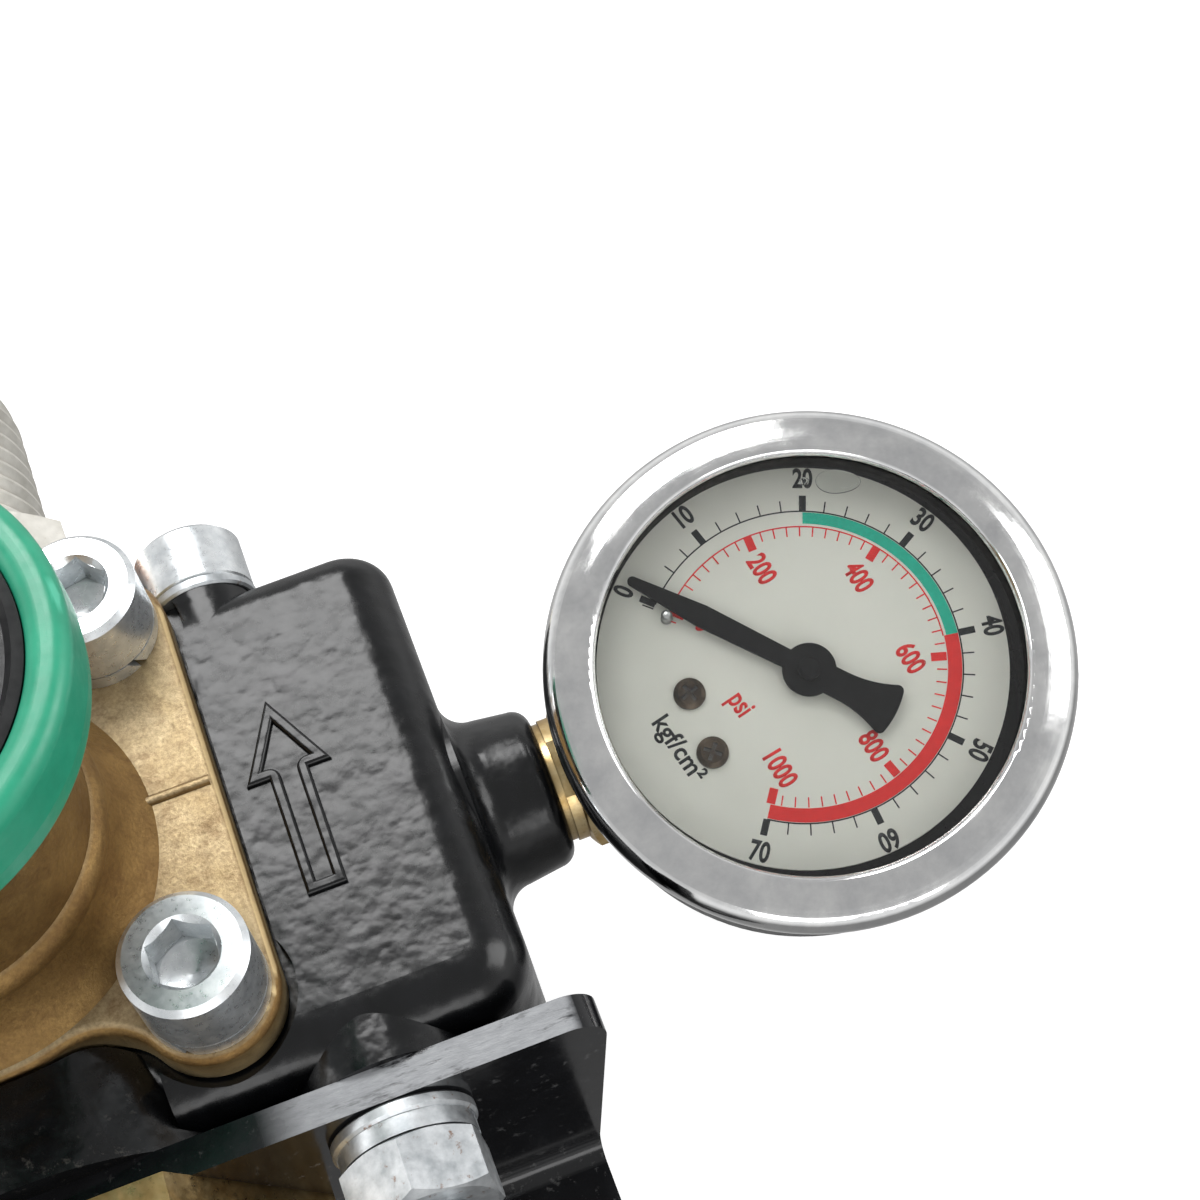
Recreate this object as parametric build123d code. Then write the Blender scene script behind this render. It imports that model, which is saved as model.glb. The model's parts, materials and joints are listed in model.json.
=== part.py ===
from build123d import *
import os
from math import acos, atan2, cos, degrees, radians, sin, sqrt, tan

# Spring-loaded piston pressure reducing valve with a side-mounted liquid-filled gauge.
# Frame: +Z along the valve axis towards the adjusting knob, +Y along the flow towards the
# outlet, +X towards the gauge.  The origin is on the valve axis, in the flat underside.

# ---------------------------------------------------------------- driving dimensions (mm)
PORT_Z = 28.5               # height of the inlet and outlet axis
SEAT_Z = 50.0               # flat on which the bonnet is bolted
FACE_Z = 53.0               # top of the two side blocks
BOLT_PITCH = 53.0           # square pattern of the bonnet screws
RUNNING = 0.05              # radial clearance of guided moving pieces
CLEAR = 0.05                # radial clearance of screwed and slipped-in pieces

# bonnet
GASKET_T = 0.8
FLANGE_T = 5.2
FLANGE_R = 28.0
EAR_R = 9.0
WAIST_R = 9.0
DOME_BASE_R = 26.8
DOME_R = 21.5
SHOULDER_R = 22.8
SHOULDER_UP = 11.0
BONNET_TOP_Z = 89.0
SPRING_BORE_R = 15.5
ROOF_T = 6.0
PARTING_R = 0.8             # cast ridge left by the mould's parting line

# body, outside
BLOCK_X = 64.3              # outer face of a side block
BLOCK_FRONT = 39.4
BLOCK_BACK = 29.0
BLOCK_BOTTOM = 14.0
BLOCK_EDGE_R = 7.0          # top and front edges of a side block
BLOCK_BACK_R = 5.0          # its back edges
PAD_DEPTH = 14.0            # bonnet seat pad below SEAT_Z
PAD_GROW = 3.0
BARREL_R = 29.0
PORT_BOSS_R = 27.0
BOSS_BACK_Y = 48.0
PORT_THREAD_R = 19.5        # M39 x 2
PORT_THREAD_DEPTH = 18.0
STUD_PAD_R = 11.5
REAR_PAD_R = 6.7
REAR_PAD_Y = 30.0
REAR_SPOT_R = 8.0           # room about a rear washer
SCREW_RELIEF = 1.6          # room round a bonnet ear, in the side block

# body, inside
PLUG_R = 15.0
PLUG_H = 7.5
INLET_CHAMBER_R = 13.8
OUTLET_CHAMBER_R = 15.0
WEB_LOW = 25.0
WEB_HIGH = 32.0
SEAT_INSERT_R = 10.5
SEAT_BORE_R = 5.5
GUIDE_LEDGE_Z = 45.5
GUIDE_FLANGE_R = 19.8
PASSAGE_R = 6.5
PASSAGE_SHIFT = 10.0
SENSING_R = 1.6

# screws and studs
BOLT_R = 5.0                # M10 bonnet screws
BOLT_DEPTH = 19.0
SCREW_HEAD_R = 8.0
SPRING_WASHER_T = 2.2
STUD_R = 5.0                # M10 bracket studs
STUD_DEPTH = 16.0
STUD_X = 42.7
STUD_Z = 42.0
FLAT_T = 1.9
FLAT_R = 9.2
SPLIT_T = 2.3
SPLIT_R = 8.7
NUT_H = 8.2
REAR_R = 5.0                # M10 rear screws
REAR_HEAD_R = 7.3
REAR_DEPTH = 16.0
REAR_SCREW_X = 39.8
REAR_SCREW_Z = 46.0
REAR_WASHER_T = 1.6
REAR_WASHER_R = 7.4

# piston, poppet and springs
PISTON_R = 10.0
PISTON_LOW = 37.0
HEAD_LOW = 56.5
HEAD_HIGH = 58.5
GUIDE_TOP = 54.3
RING_Z = 48.5
SPRING_TOP = 77.5
SPRING_SEAT_TOP = 81.5
POPPET_TOP = 24.9
POPPET_LOW = 15.0
TAIL_R = 3.5

# port fittings
NIPPLE_AF = 46.0
NIPPLE_TURN = 36.0
NIPPLE_HEX_END = 59.5
NIPPLE_END = 90.0
NIPPLE_THREAD_R = 21.0      # M42 x 3
NIPPLE_PITCH = 3.0
OUTLET_BORE_R = 15.0
SEAL_T = 2.0
SEAL_OUT_R = 24.6
INLET_BORE_R = 12.0
INLET_HEX_AF = 54.0
INLET_END = 68.0
INLET_THREAD_R = 15.1       # G1 female, at the thread's crest
INLET_THREAD_LENGTH = 16.2
STRAINER_LIP_R = 13.8
STRAINER_STEP = 18.0        # mouth to the strainer's step

# gauge connection
STEM_Y = -5.8
STEM_Z = 34.6
GAUGE_BOSS_X = 74.9
GAUGE_BOSS_R = 11.35
GAUGE_BOSS_FLARE = 3.5
GAUGE_BOSS_ROUND = 2.5
GAUGE_THREAD_R = 6.58       # G1/4
GAUGE_THREAD_DEPTH = 13.0

# bracket
PLATE_BACK = 41.4
PLATE_T = 4.5
PLATE_TOP_Z = 51.2
PLATE_TOP_HALF = 70.4       # half width of the upright at its top
PLATE_BEND_HALF = 64.6      # and at the bend
PLATE_CORNER_R = 4.5
BEND_R = 3.0                # inside radius of the bend
LEG_TOP_Z = 11.8
LEG_FRONT = 84.0
LEG_CORNER_R = 10.0
FOOT_SLOT_LENGTH = 16.0
FOOT_SLOT_WIDTH = 9.0
FOOT_SLOT_X = 49.0
FOOT_SLOT_Y = 66.0

# gauge case and dial, heights from the bezel plane
GAUGE_TILT = 16.2           # lean of the dial about the stem axis, degrees
FACE_UP = 12.5              # stem axis to bezel plane
GAUGE_X = 110.6
CASE_R = 31.0
CASE_DEPTH = 29.0
CASE_T = 0.7
MOUTH_Z = -0.5
FILL_R = 4.2
BEZEL_R = 34.2
BEZEL_BACK = -5.0
WINDOW_R = 27.4
LENS_R = 30.6
LENS_LOW, LENS_HIGH = 0.6, 2.25
GASKET_IN_R = 27.8
DIAL_R = 26.6
DIAL_OFF_X, DIAL_OFF_Y = -0.4, 1.06     # the dial plate sits a little off the case axis
DIAL_TOP = -3.0
DIAL_T = 0.5
DIAL_SCREWS = [(-15.4, 2.7), (-15.4, -5.5)]
STOP_PIN_ANGLE = 138.0
STOP_PIN_R = 19.6
POINTER_ANGLE = 131.9       # direction of the pointer at rest, from +X
POINTER_Z0, POINTER_Z1 = -2.0, -1.6
POINTER_TIP = 26.2
POINTER_TIP_HALF = 0.65
TAIL_OUT = 12.4

# gauge socket block and movement
BLOCK_X0, BLOCK_X1 = -29.0, -12.0        # socket block along the case
BLOCK_HALF = 7.4
BLOCK_LOW, BLOCK_HIGH = -18.5, -6.5
SHELF_Z = -16.0
SHELF_X = -5.0
PINION_TEETH = 10
SECTOR_TEETH = 84           # on the full circle
MODULE = 0.3
SECTOR_ANGLE = 235.0        # direction from pinion to sector pivot
PLATE_LOW_Z, PLATE_HIGH_Z = -16.0, -8.2
MOVEMENT_T = 0.9
ARBOR_R = 0.6
ARBOR_CLEAR = 0.06
TUBE_R = 22.0
TUBE_TIP, TUBE_ROOT = -75.0, 166.0
TUBE_WIDTH, TUBE_THICK = 8.0, 2.0
TUBE_TRAVEL = 10.0          # room behind the root, degrees about the case centre
TAIL_LENGTH = 5.0
TAIL_ANGLE = -114.6
LINK_Z = -13.6
LINK_T = 0.6
LINK_PIN_IN = 2.9           # link pin inside the tube's centre line
GEAR_Z0, GEAR_Z1 = -12.4, -10.6
PILLARS = [(-6.5, 5.5), (6.5, -5.5)]
PILLAR_EYE_R = 2.4

# adjusting knob and spindle
SPINDLE_R = 7.0
KNOB_BOTTOM_Z = 96.0
KNOB_TOP_Z = 108.0
KNOB_R = 30.0
KNOB_HOLE_R = 24.8
WEB_Z = 99.5                # underside of the knob's disc
WEB_T = 3.5

HALF_PITCH = BOLT_PITCH / 2
FLANGE_TOP_Z = SEAT_Z + GASKET_T + FLANGE_T
PLATE_FRONT = PLATE_BACK + PLATE_T
BOLTS = [(sx * HALF_PITCH, sy * HALF_PITCH) for sx in (-1, 1) for sy in (-1, 1)]


# ---------------------------------------------------------------- shape helpers
def rod_z(radius, low, high, x=0.0, y=0.0):
    return Pos(x, y, (low + high) / 2) * Cylinder(radius, high - low)


def rod_y(radius, low, high, x=0.0, z=0.0):
    return Pos(x, (low + high) / 2, z) * Rot(90, 0, 0) * Cylinder(radius, high - low)


def rod_x(radius, low, high, y=0.0, z=0.0):
    return Pos((low + high) / 2, y, z) * Rot(0, 90, 0) * Cylinder(radius, high - low)


def block(x0, x1, y0, y1, z0, z1):
    return Pos((x0 + x1) / 2, (y0 + y1) / 2, (z0 + z1) / 2) * Box(x1 - x0, y1 - y0, z1 - z0)


def turned(points):
    """Solid of revolution about Z from (radius, height) corners."""
    return revolve(Plane.XZ * make_face(Polyline(*points, close=True)), Axis.Z)


def hexagon(across_flats, low, high, turn=0.0):
    prism = extrude(RegularPolygon(across_flats / 2, 6, major_radius=False), high - low)
    return Pos(0, 0, low) * Rot(0, 0, turn) * prism


def chamfered_hexagon(across_flats, low, high, turn=0.0, at_low=True, at_high=True):
    """Hexagon whose corners are cut by the usual 30 degree cone at either end."""
    corner = across_flats / sqrt(3)
    flat = across_flats / 2 * 0.97
    lower = upper = (corner + 1 - flat) * tan(radians(30))
    outline = [(0, low), (flat, low), (corner + 1, low + lower), (corner + 1, high - upper),
               (flat, high), (0, high)]
    if not at_low:
        outline[1:3] = [(corner + 1, low)]
    if not at_high:
        outline[-3:-1] = [(corner + 1, high)]
    return hexagon(across_flats, low, high, turn) & turned(outline)


def along_y(shape, z=PORT_Z, x=0.0):
    """Turn a shape made on +Z so that its axis runs along +Y."""
    return Pos(x, 0, z) * Rot(-90, 0, 0) * shape


def along_x(shape, y=STEM_Y, z=STEM_Z):
    """Turn a shape made on +Z so that its axis runs along +X."""
    return Pos(0, y, z) * Rot(0, 90, 0) * shape


def socket_screw(thread_r, head_r, head_h, key, length):
    """Socket head cap screw with its head resting on z = 0."""
    soft = 0.8
    head = turned([(0, 0), (head_r - 0.3, 0), (head_r, 0.3), (head_r, head_h - soft),
                   (head_r - soft, head_h), (0, head_h)])
    shank = turned([(0, -length), (thread_r - 0.9, -length), (thread_r, -length + 0.9),
                    (thread_r, 0), (0, 0)])
    lead = turned([(0, head_h - 0.9), (key * 0.5 + 0.05, head_h - 0.9),
                   (key / sqrt(3) + 0.15, head_h), (0, head_h)])
    recess = hexagon(key, head_h * 0.45, head_h, 30)
    bottom = turned([(0, head_h * 0.45 - 1.2), (key / 2, head_h * 0.45 + 0.01), (0, head_h * 0.45 + 0.01)])
    return head + shank - recess - lead - bottom


def split_washer(inner, outer, thick):
    """Spring washer with its two ends offset across a slanted gap."""
    ring = Cylinder(outer, thick) - Cylinder(inner, thick * 2)
    gap = Pos((inner + outer) / 2, 0, 0) * Rot(35, 0, 0) * Box(outer, 0.9, thick * 3)
    return ring - gap


def flat_washer(inner, outer, thick):
    soft = thick * 0.2
    half = thick / 2
    return turned([(inner, -half), (outer - soft, -half), (outer, soft - half), (outer, half - soft),
                   (outer - soft, half), (inner, half)])


def seal_ring(major, minor, z=0.0):
    return Pos(0, 0, z) * Torus(major, minor)


def coil(mean_r, wire_r, low, high, turns):
    """Helical compression spring whose wire stays between two heights."""
    rise = high - low - 2 * wire_r
    path = Helix(pitch=rise / turns, height=rise, radius=mean_r)
    start = Plane(origin=path @ 0, z_dir=path % 0)
    return Pos(0, 0, low + wire_r) * sweep(start * Circle(wire_r), path=path)


# ---------------------------------------------------------------- body and bonnet
def flange_outline(grow=0.0):
    """Round flange with four bolt ears, straight at the sides and waisted front and back."""
    round_r, ear_r, waist_r = FLANGE_R + grow, EAR_R + grow, WAIST_R - grow
    shape = Sketch() + Circle(round_r) + Rectangle(BOLT_PITCH, BOLT_PITCH - 14)
    span = HALF_PITCH * sqrt(2)
    reach = round_r + waist_r
    swing = degrees(acos((reach ** 2 + span ** 2 - (ear_r + waist_r) ** 2) / (2 * reach * span)))
    centre_x, centre_y = reach * cos(radians(45 + swing)), reach * sin(radians(45 + swing))
    for sx in (-1, 1):
        shape += Pos(sx * HALF_PITCH, 0) * Rot(0, 0, 90) * SlotCenterToCenter(BOLT_PITCH, 2 * ear_r)
        for sy in (-1, 1):
            gusset = make_face(Polyline((0, 0), (sx * HALF_PITCH, sy * HALF_PITCH),
                                        (sx * centre_x, sy * centre_y), close=True))
            shape += gusset - Pos(sx * centre_x, sy * centre_y) * Circle(waist_r)
    return shape


def side_block(side):
    """Rounded casting block beside the bonnet: full at the front and top, crisper at the back."""
    inner_x = 18.0

    def rounded(edges):
        return [e for e in edges if e.center().X > inner_x + 0.1 and e.center().Y < BLOCK_BACK - 0.1]

    solid = block(inner_x, BLOCK_X, -BLOCK_FRONT, BLOCK_BACK, BLOCK_BOTTOM, FACE_Z)
    solid = fillet(rounded(solid.edges().filter_by(Axis.Z)), BLOCK_EDGE_R + 1.5)
    solid = fillet(rounded(solid.faces().sort_by(Axis.Z)[-1].edges()), BLOCK_EDGE_R)
    solid = fillet(rounded(solid.faces().sort_by(Axis.Z)[0].edges()), BLOCK_EDGE_R - 2)
    back = [e for e in solid.faces().sort_by(Axis.Y)[-1].edges() if e.center().X > inner_x + 0.1]
    solid = fillet(back, BLOCK_BACK_R)
    return solid if side > 0 else mirror(solid, Plane.YZ)


def gauge_boss():
    """Round boss with a flared root, turned about the stem axis; z here runs along +X."""
    root = BLOCK_X - 2
    flare, soft = GAUGE_BOSS_FLARE, GAUGE_BOSS_ROUND
    tip_r = GAUGE_BOSS_R - 0.6
    with BuildSketch(Plane.XZ) as profile:
        with BuildLine():
            Polyline((0, root - 20), (GAUGE_BOSS_R + flare, root - 20), (GAUGE_BOSS_R + flare, BLOCK_X))
            RadiusArc((GAUGE_BOSS_R + flare, BLOCK_X), (GAUGE_BOSS_R, BLOCK_X + flare), flare)
            Polyline((GAUGE_BOSS_R, BLOCK_X + flare), (tip_r, GAUGE_BOSS_X - soft))
            RadiusArc((tip_r, GAUGE_BOSS_X - soft), (tip_r - soft, GAUGE_BOSS_X), -soft)
            Polyline((tip_r - soft, GAUGE_BOSS_X), (0, GAUGE_BOSS_X), (0, root - 20))
        make_face()
    return along_x(revolve(profile.sketch, Axis.Z))


def port_boss():
    """Inlet and outlet bosses in line, each closing in to the valve body."""
    front = turned([(0, 0), (PORT_BOSS_R, 0), (PORT_BOSS_R, PLATE_BACK), (0, PLATE_BACK)])
    back_r = PORT_BOSS_R - 1.0
    back = turned([(0, 0), (PORT_BOSS_R, 0), (PORT_BOSS_R, 34), (back_r, BOSS_BACK_Y - 2),
                   (back_r - 2, BOSS_BACK_Y), (0, BOSS_BACK_Y)])
    return Pos(0, 0, PORT_Z) * Rot(90, 0, 0) * front + along_y(back)


def flow_arrow():
    """Raised outline arrow on the side block, pointing from inlet to outlet."""
    x_mid, y_tail, y_neck, y_tip = 44.0, -18.0, -1.0, 10.0
    shaft, head = 2.6, 5.6
    outline = Polyline((x_mid - shaft, y_tail), (x_mid + shaft, y_tail), (x_mid + shaft, y_neck),
                       (x_mid + head, y_neck), (x_mid, y_tip), (x_mid - head, y_neck),
                       (x_mid - shaft, y_neck), close=True)
    face = make_face(outline)
    ridge = extrude(face - offset(face, -1.5), 1.0)
    return Pos(0, 0, FACE_Z - 0.3) * fillet(ridge.faces().sort_by(Axis.Z)[-1].edges(), 0.45)


def valve_body():
    pad = extrude(flange_outline(PAD_GROW), PAD_DEPTH)
    pad = fillet(pad.faces().sort_by(Axis.Z)[-1].edges(), 2.2)
    solid = Pos(0, 0, SEAT_Z - PAD_DEPTH) * pad
    solid += rod_z(BARREL_R, 0, SEAT_Z - 2)
    solid += port_boss()
    for side in (-1, 1):
        solid += side_block(side)
        solid += rod_y(STUD_PAD_R, -PLATE_BACK, -BLOCK_FRONT + 8, side * STUD_X, STUD_Z - 1.0)
        solid += rod_y(REAR_PAD_R, BLOCK_BACK - 8, REAR_PAD_Y, side * REAR_SCREW_X, FACE_Z - REAR_PAD_R)
    boss = gauge_boss()
    solid += boss
    solid += mirror(boss, Plane.YZ)
    solid += flow_arrow()

    # the bonnet drops between the side blocks, with a round relief about each screw
    solid -= Pos(0, 0, SEAT_Z) * extrude(flange_outline(0.5), 12)
    for x, y in BOLTS:
        solid -= rod_z(EAR_R + SCREW_RELIEF, SEAT_Z, SEAT_Z + 12, x, y)
    solid -= rod_z(PORT_BOSS_R * 2, -20, 0)

    # valve chambers on the axis
    solid -= rod_z(PLUG_R, -1, PLUG_H + 0.5)
    solid -= rod_z(INLET_CHAMBER_R, PLUG_H, WEB_LOW)
    solid -= rod_z(SEAT_INSERT_R, WEB_LOW - 1, WEB_HIGH + 1)
    solid -= rod_z(OUTLET_CHAMBER_R, WEB_HIGH, GUIDE_LEDGE_Z + 1)
    solid -= rod_z(GUIDE_FLANGE_R + CLEAR, GUIDE_LEDGE_Z, SEAT_Z + 1)

    # ports and the two offset passages
    solid -= rod_y(PORT_THREAD_R, -PLATE_BACK - 1, -PLATE_BACK + PORT_THREAD_DEPTH, 0, PORT_Z)
    solid -= rod_y(PORT_THREAD_R, BOSS_BACK_Y - PORT_THREAD_DEPTH, BOSS_BACK_Y + 1, 0, PORT_Z)
    solid -= rod_y(PASSAGE_R, -PLATE_BACK + PORT_THREAD_DEPTH - 1, 0, 0, PORT_Z - PASSAGE_SHIFT - 1.5)
    solid -= rod_y(PASSAGE_R, 0, BOSS_BACK_Y - PORT_THREAD_DEPTH + 1, 0, PORT_Z + PASSAGE_SHIFT)

    # gauge ports and their sensing bores
    for side in (-1, 1):
        ends = sorted((side * (GAUGE_BOSS_X + 1), side * (GAUGE_BOSS_X - GAUGE_THREAD_DEPTH)))
        solid -= rod_x(GAUGE_THREAD_R, ends[0], ends[1], STEM_Y, STEM_Z)
        ends = sorted((side * GAUGE_BOSS_X, side * 10))
        solid -= rod_x(SENSING_R, ends[0], ends[1], STEM_Y, STEM_Z + 2.5)

    # screw and stud holes
    for x, y in BOLTS:
        solid -= rod_z(BOLT_R, SEAT_Z - BOLT_DEPTH, SEAT_Z + 1, x, y)
    for side in (-1, 1):
        solid -= rod_y(STUD_R, -PLATE_BACK - 1, -PLATE_BACK + STUD_DEPTH, side * STUD_X, STUD_Z)
        solid -= rod_y(REAR_R, REAR_PAD_Y - REAR_DEPTH, REAR_PAD_Y + 1, side * REAR_SCREW_X, REAR_SCREW_Z)
        solid -= rod_y(REAR_SPOT_R, REAR_PAD_Y, REAR_PAD_Y + 12, side * REAR_SCREW_X, REAR_SCREW_Z)
    return solid


def bonnet():
    """Cast bronze spring housing: eared flange, flared root, shoulder and round tower."""
    plate = extrude(flange_outline(), FLANGE_T)
    plate = Pos(0, 0, SEAT_Z + GASKET_T) * fillet(plate.faces().sort_by(Axis.Z)[-1].edges(), 1.4)
    top = FLANGE_TOP_Z
    with BuildSketch(Plane.XZ) as profile:
        with BuildLine():
            Polyline((0, top - 2), (DOME_BASE_R, top - 2), (DOME_BASE_R, top))
            RadiusArc((DOME_BASE_R, top), (SHOULDER_R, top + SHOULDER_UP - 2.5), 13.0)
            RadiusArc((SHOULDER_R, top + SHOULDER_UP - 2.5), (DOME_R, top + SHOULDER_UP + 1.0), -3.0)
            Polyline((DOME_R, top + SHOULDER_UP + 1.0), (DOME_R - 0.6, BONNET_TOP_Z - 6.0))
            RadiusArc((DOME_R - 0.6, BONNET_TOP_Z - 6.0), (DOME_R - 6.6, BONNET_TOP_Z - 1.2), -6.5)
            Polyline((DOME_R - 6.6, BONNET_TOP_Z - 1.2), (13.0, BONNET_TOP_Z), (0, BONNET_TOP_Z),
                     (0, top - 2))
        make_face()
    solid = plate + revolve(profile.sketch, Axis.Z)
    for low, high in ((DOME_BASE_R - 3, FLANGE_R + 6.5), (-FLANGE_R - 6.5, 3 - DOME_BASE_R)):
        solid += rod_x(PARTING_R, low, high, 0.6, top - 0.3)
    solid -= rod_z(SPRING_BORE_R, SEAT_Z, BONNET_TOP_Z - ROOF_T)
    solid -= rod_z(SPINDLE_R + RUNNING, BONNET_TOP_Z - ROOF_T - 1, BONNET_TOP_Z + 1)
    for x, y in BOLTS:
        solid -= rod_z(BOLT_R + 0.5, SEAT_Z, top + 1, x, y)
        solid -= rod_z(SCREW_HEAD_R + 0.7, top, top + 14, x, y)
    return solid


def bonnet_gasket():
    solid = extrude(flange_outline(-0.8), GASKET_T) - rod_z(GUIDE_FLANGE_R + 0.4, -1, 2)
    for x, y in BOLTS:
        solid -= rod_z(BOLT_R + 0.4, -1, 2, x, y)
    return Pos(0, 0, SEAT_Z) * solid


def group(pieces):
    return Compound(children=list(pieces))


def bonnet_screws():
    screw = socket_screw(BOLT_R - CLEAR, SCREW_HEAD_R, 10.0, 8.0, 25.0)
    base = FLANGE_TOP_Z + SPRING_WASHER_T
    turns = (20, 75, 0, 40)
    return group(Pos(x, y, base) * Rot(0, 0, turn) * screw for (x, y), turn in zip(BOLTS, turns))


def bonnet_spring_washers():
    washer = split_washer(BOLT_R + 0.2, SCREW_HEAD_R, SPRING_WASHER_T)
    turns = (100, 170, 235, 300)
    base = FLANGE_TOP_Z + SPRING_WASHER_T / 2
    return group(Pos(x, y, base) * Rot(0, 0, turn) * washer for (x, y), turn in zip(BOLTS, turns))


# ---------------------------------------------------------------- moving valve pieces
def piston_guide():
    """Bronze cylinder clamped between body and bonnet."""
    sleeve = rod_z(OUTLET_CHAMBER_R - CLEAR, GUIDE_LEDGE_Z - 3.5, GUIDE_LEDGE_Z)
    flange = rod_z(GUIDE_FLANGE_R, GUIDE_LEDGE_Z, SEAT_Z + GASKET_T)
    neck = rod_z(SPRING_BORE_R - 1.0, SEAT_Z, GUIDE_TOP)
    groove = rod_z(GUIDE_FLANGE_R + 1, 47.0, 49.0) - rod_z(GUIDE_FLANGE_R - 1.9, 46, 50)
    return sleeve + flange + neck - groove - rod_z(PISTON_R + RUNNING, GUIDE_LEDGE_Z - 5, GUIDE_TOP + 1)


def guide_o_ring():
    return seal_ring(GUIDE_FLANGE_R - 0.95, 0.93, 48.0)


def piston():
    """Piston with a seal groove, a spring plate and a pilot that centres the spring."""
    solid = turned([(0, PISTON_LOW), (PISTON_R - 1, PISTON_LOW), (PISTON_R, PISTON_LOW + 1),
                    (PISTON_R, HEAD_LOW), (SPRING_BORE_R - 0.6, HEAD_LOW),
                    (SPRING_BORE_R - 0.6, HEAD_HIGH), (9.0, HEAD_HIGH), (8.2, HEAD_HIGH + 3),
                    (4.5, HEAD_HIGH + 3), (4.5, HEAD_LOW - 4), (0, HEAD_LOW - 5)])
    groove = rod_z(PISTON_R + 1, RING_Z - 1.1, RING_Z + 1.1) - rod_z(PISTON_R - 1.9, RING_Z - 2, RING_Z + 2)
    return solid - groove


def piston_o_ring():
    return seal_ring(PISTON_R - 0.97, 0.92, RING_Z)


def regulating_spring():
    return coil(11.6, 1.5, HEAD_HIGH, SPRING_TOP, 4.5)


def upper_spring_seat():
    rim = SPRING_BORE_R - 0.6
    solid = turned([(0, SPRING_TOP - 3), (8.6, SPRING_TOP - 3), (9.4, SPRING_TOP), (rim, SPRING_TOP),
                    (rim, SPRING_TOP + 2), (rim - 2, SPRING_SEAT_TOP), (0, SPRING_SEAT_TOP)])
    return solid - rod_z(3.4, SPRING_SEAT_TOP - 2.0, SPRING_SEAT_TOP + 1)


def spindle():
    """Adjusting screw: round thrust tip, screwed length, knob seat and top thread."""
    thread = SPINDLE_R
    return turned([(0, SPRING_SEAT_TOP - 2.0), (2.0, SPRING_SEAT_TOP - 2.0), (3.2, SPRING_SEAT_TOP - 1.2),
                   (3.2, SPRING_SEAT_TOP + 0.6), (thread - 0.8, SPRING_SEAT_TOP + 0.6),
                   (thread, SPRING_SEAT_TOP + 1.4), (thread, WEB_Z), (5.0, WEB_Z),
                   (5.0, KNOB_TOP_Z + 0.5), (4.2, KNOB_TOP_Z + 1.3), (0, KNOB_TOP_Z + 1.3)])


def lock_nut():
    nut = chamfered_hexagon(22.0, BONNET_TOP_Z, BONNET_TOP_Z + 6.0, 12)
    return nut - rod_z(SPINDLE_R + RUNNING, BONNET_TOP_Z - 1, BONNET_TOP_Z + 8)


def knob_core():
    """Dished plastic wheel that the spindle carries; the grip ring is pressed over its rim."""
    rim = KNOB_HOLE_R
    solid = turned([(5.0 + CLEAR, WEB_Z), (9.5, WEB_Z), (9.5, WEB_Z + 0.5), (rim - 2.2, WEB_Z + 0.5),
                    (rim - 2.2, KNOB_BOTTOM_Z + 1), (rim, KNOB_BOTTOM_Z + 1), (rim, KNOB_TOP_Z - 1.2),
                    (rim - 1.2, KNOB_TOP_Z - 0.6), (rim - 2.2, KNOB_TOP_Z - 1.6),
                    (rim - 2.6, WEB_Z + WEB_T + 0.6), (10.0, WEB_Z + WEB_T), (5.0 + CLEAR, WEB_Z + WEB_T)])
    for k in range(6):
        rib = block(10.5, rim - 2.6, -0.9, 0.9, WEB_Z + WEB_T - 0.5, WEB_Z + WEB_T + 1.6)
        solid += Rot(0, 0, 60 * k + 15) * rib
    return solid


def knob_grip():
    """Soft-edged ring that is gripped to turn the knob."""
    low, high, wall = KNOB_BOTTOM_Z, KNOB_TOP_Z, KNOB_R
    ring = turned([(KNOB_HOLE_R, low), (wall - 0.5, low), (wall, low + 4), (wall, high), (KNOB_HOLE_R, high)])
    upper = [e for e in ring.edges() if e.center().Z > high - 0.01]
    ring = fillet(upper, 2.2)
    lower = [e for e in ring.edges() if e.center().Z < low + 0.01]
    return fillet(lower, 1.4)


def knob_washer():
    return Pos(0, 0, WEB_Z + WEB_T + 0.6) * flat_washer(5.2, 9.8, 1.2)


def knob_nut():
    low = WEB_Z + WEB_T + 1.2
    return chamfered_hexagon(16.0, low, low + 4.4, 10) - rod_z(5.0 + CLEAR, low - 1, low + 6)


def valve_seat():
    """Stainless seat pressed in the web, with a raised sealing lip underneath."""
    outer = SEAT_INSERT_R - CLEAR
    solid = turned([(SEAT_BORE_R, WEB_LOW + 0.05), (SEAT_BORE_R + 0.8, WEB_LOW + 0.05),
                    (SEAT_BORE_R + 1.4, WEB_LOW + 0.9), (outer, WEB_LOW + 0.9), (outer, WEB_HIGH),
                    (outer - 0.6, WEB_HIGH + 0.6), (SEAT_BORE_R + 1, WEB_HIGH + 0.6),
                    (SEAT_BORE_R, WEB_HIGH - 0.4)])
    return solid


def poppet():
    body = turned([(0, 5.2), (TAIL_R - 0.5, 5.2), (TAIL_R, 5.9), (TAIL_R, POPPET_LOW), (8.6, POPPET_LOW),
                   (9.4, POPPET_LOW + 0.8), (9.4, POPPET_TOP), (8.2, POPPET_TOP),
                   (8.2, POPPET_TOP - 1.8), (3.4, POPPET_TOP - 1.8), (3.4, POPPET_TOP),
                   (2.4, POPPET_TOP + 1), (2.4, PISTON_LOW - 0.6), (1.8, PISTON_LOW - 0.05),
                   (0, PISTON_LOW - 0.05)])
    return body


def poppet_seal():
    return rod_z(8.2, POPPET_TOP - 1.8, POPPET_TOP) - rod_z(3.4, POPPET_TOP - 3, POPPET_TOP + 1)


def poppet_spring():
    return coil(6.2, 0.65, PLUG_H, POPPET_LOW, 3.5)


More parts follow.
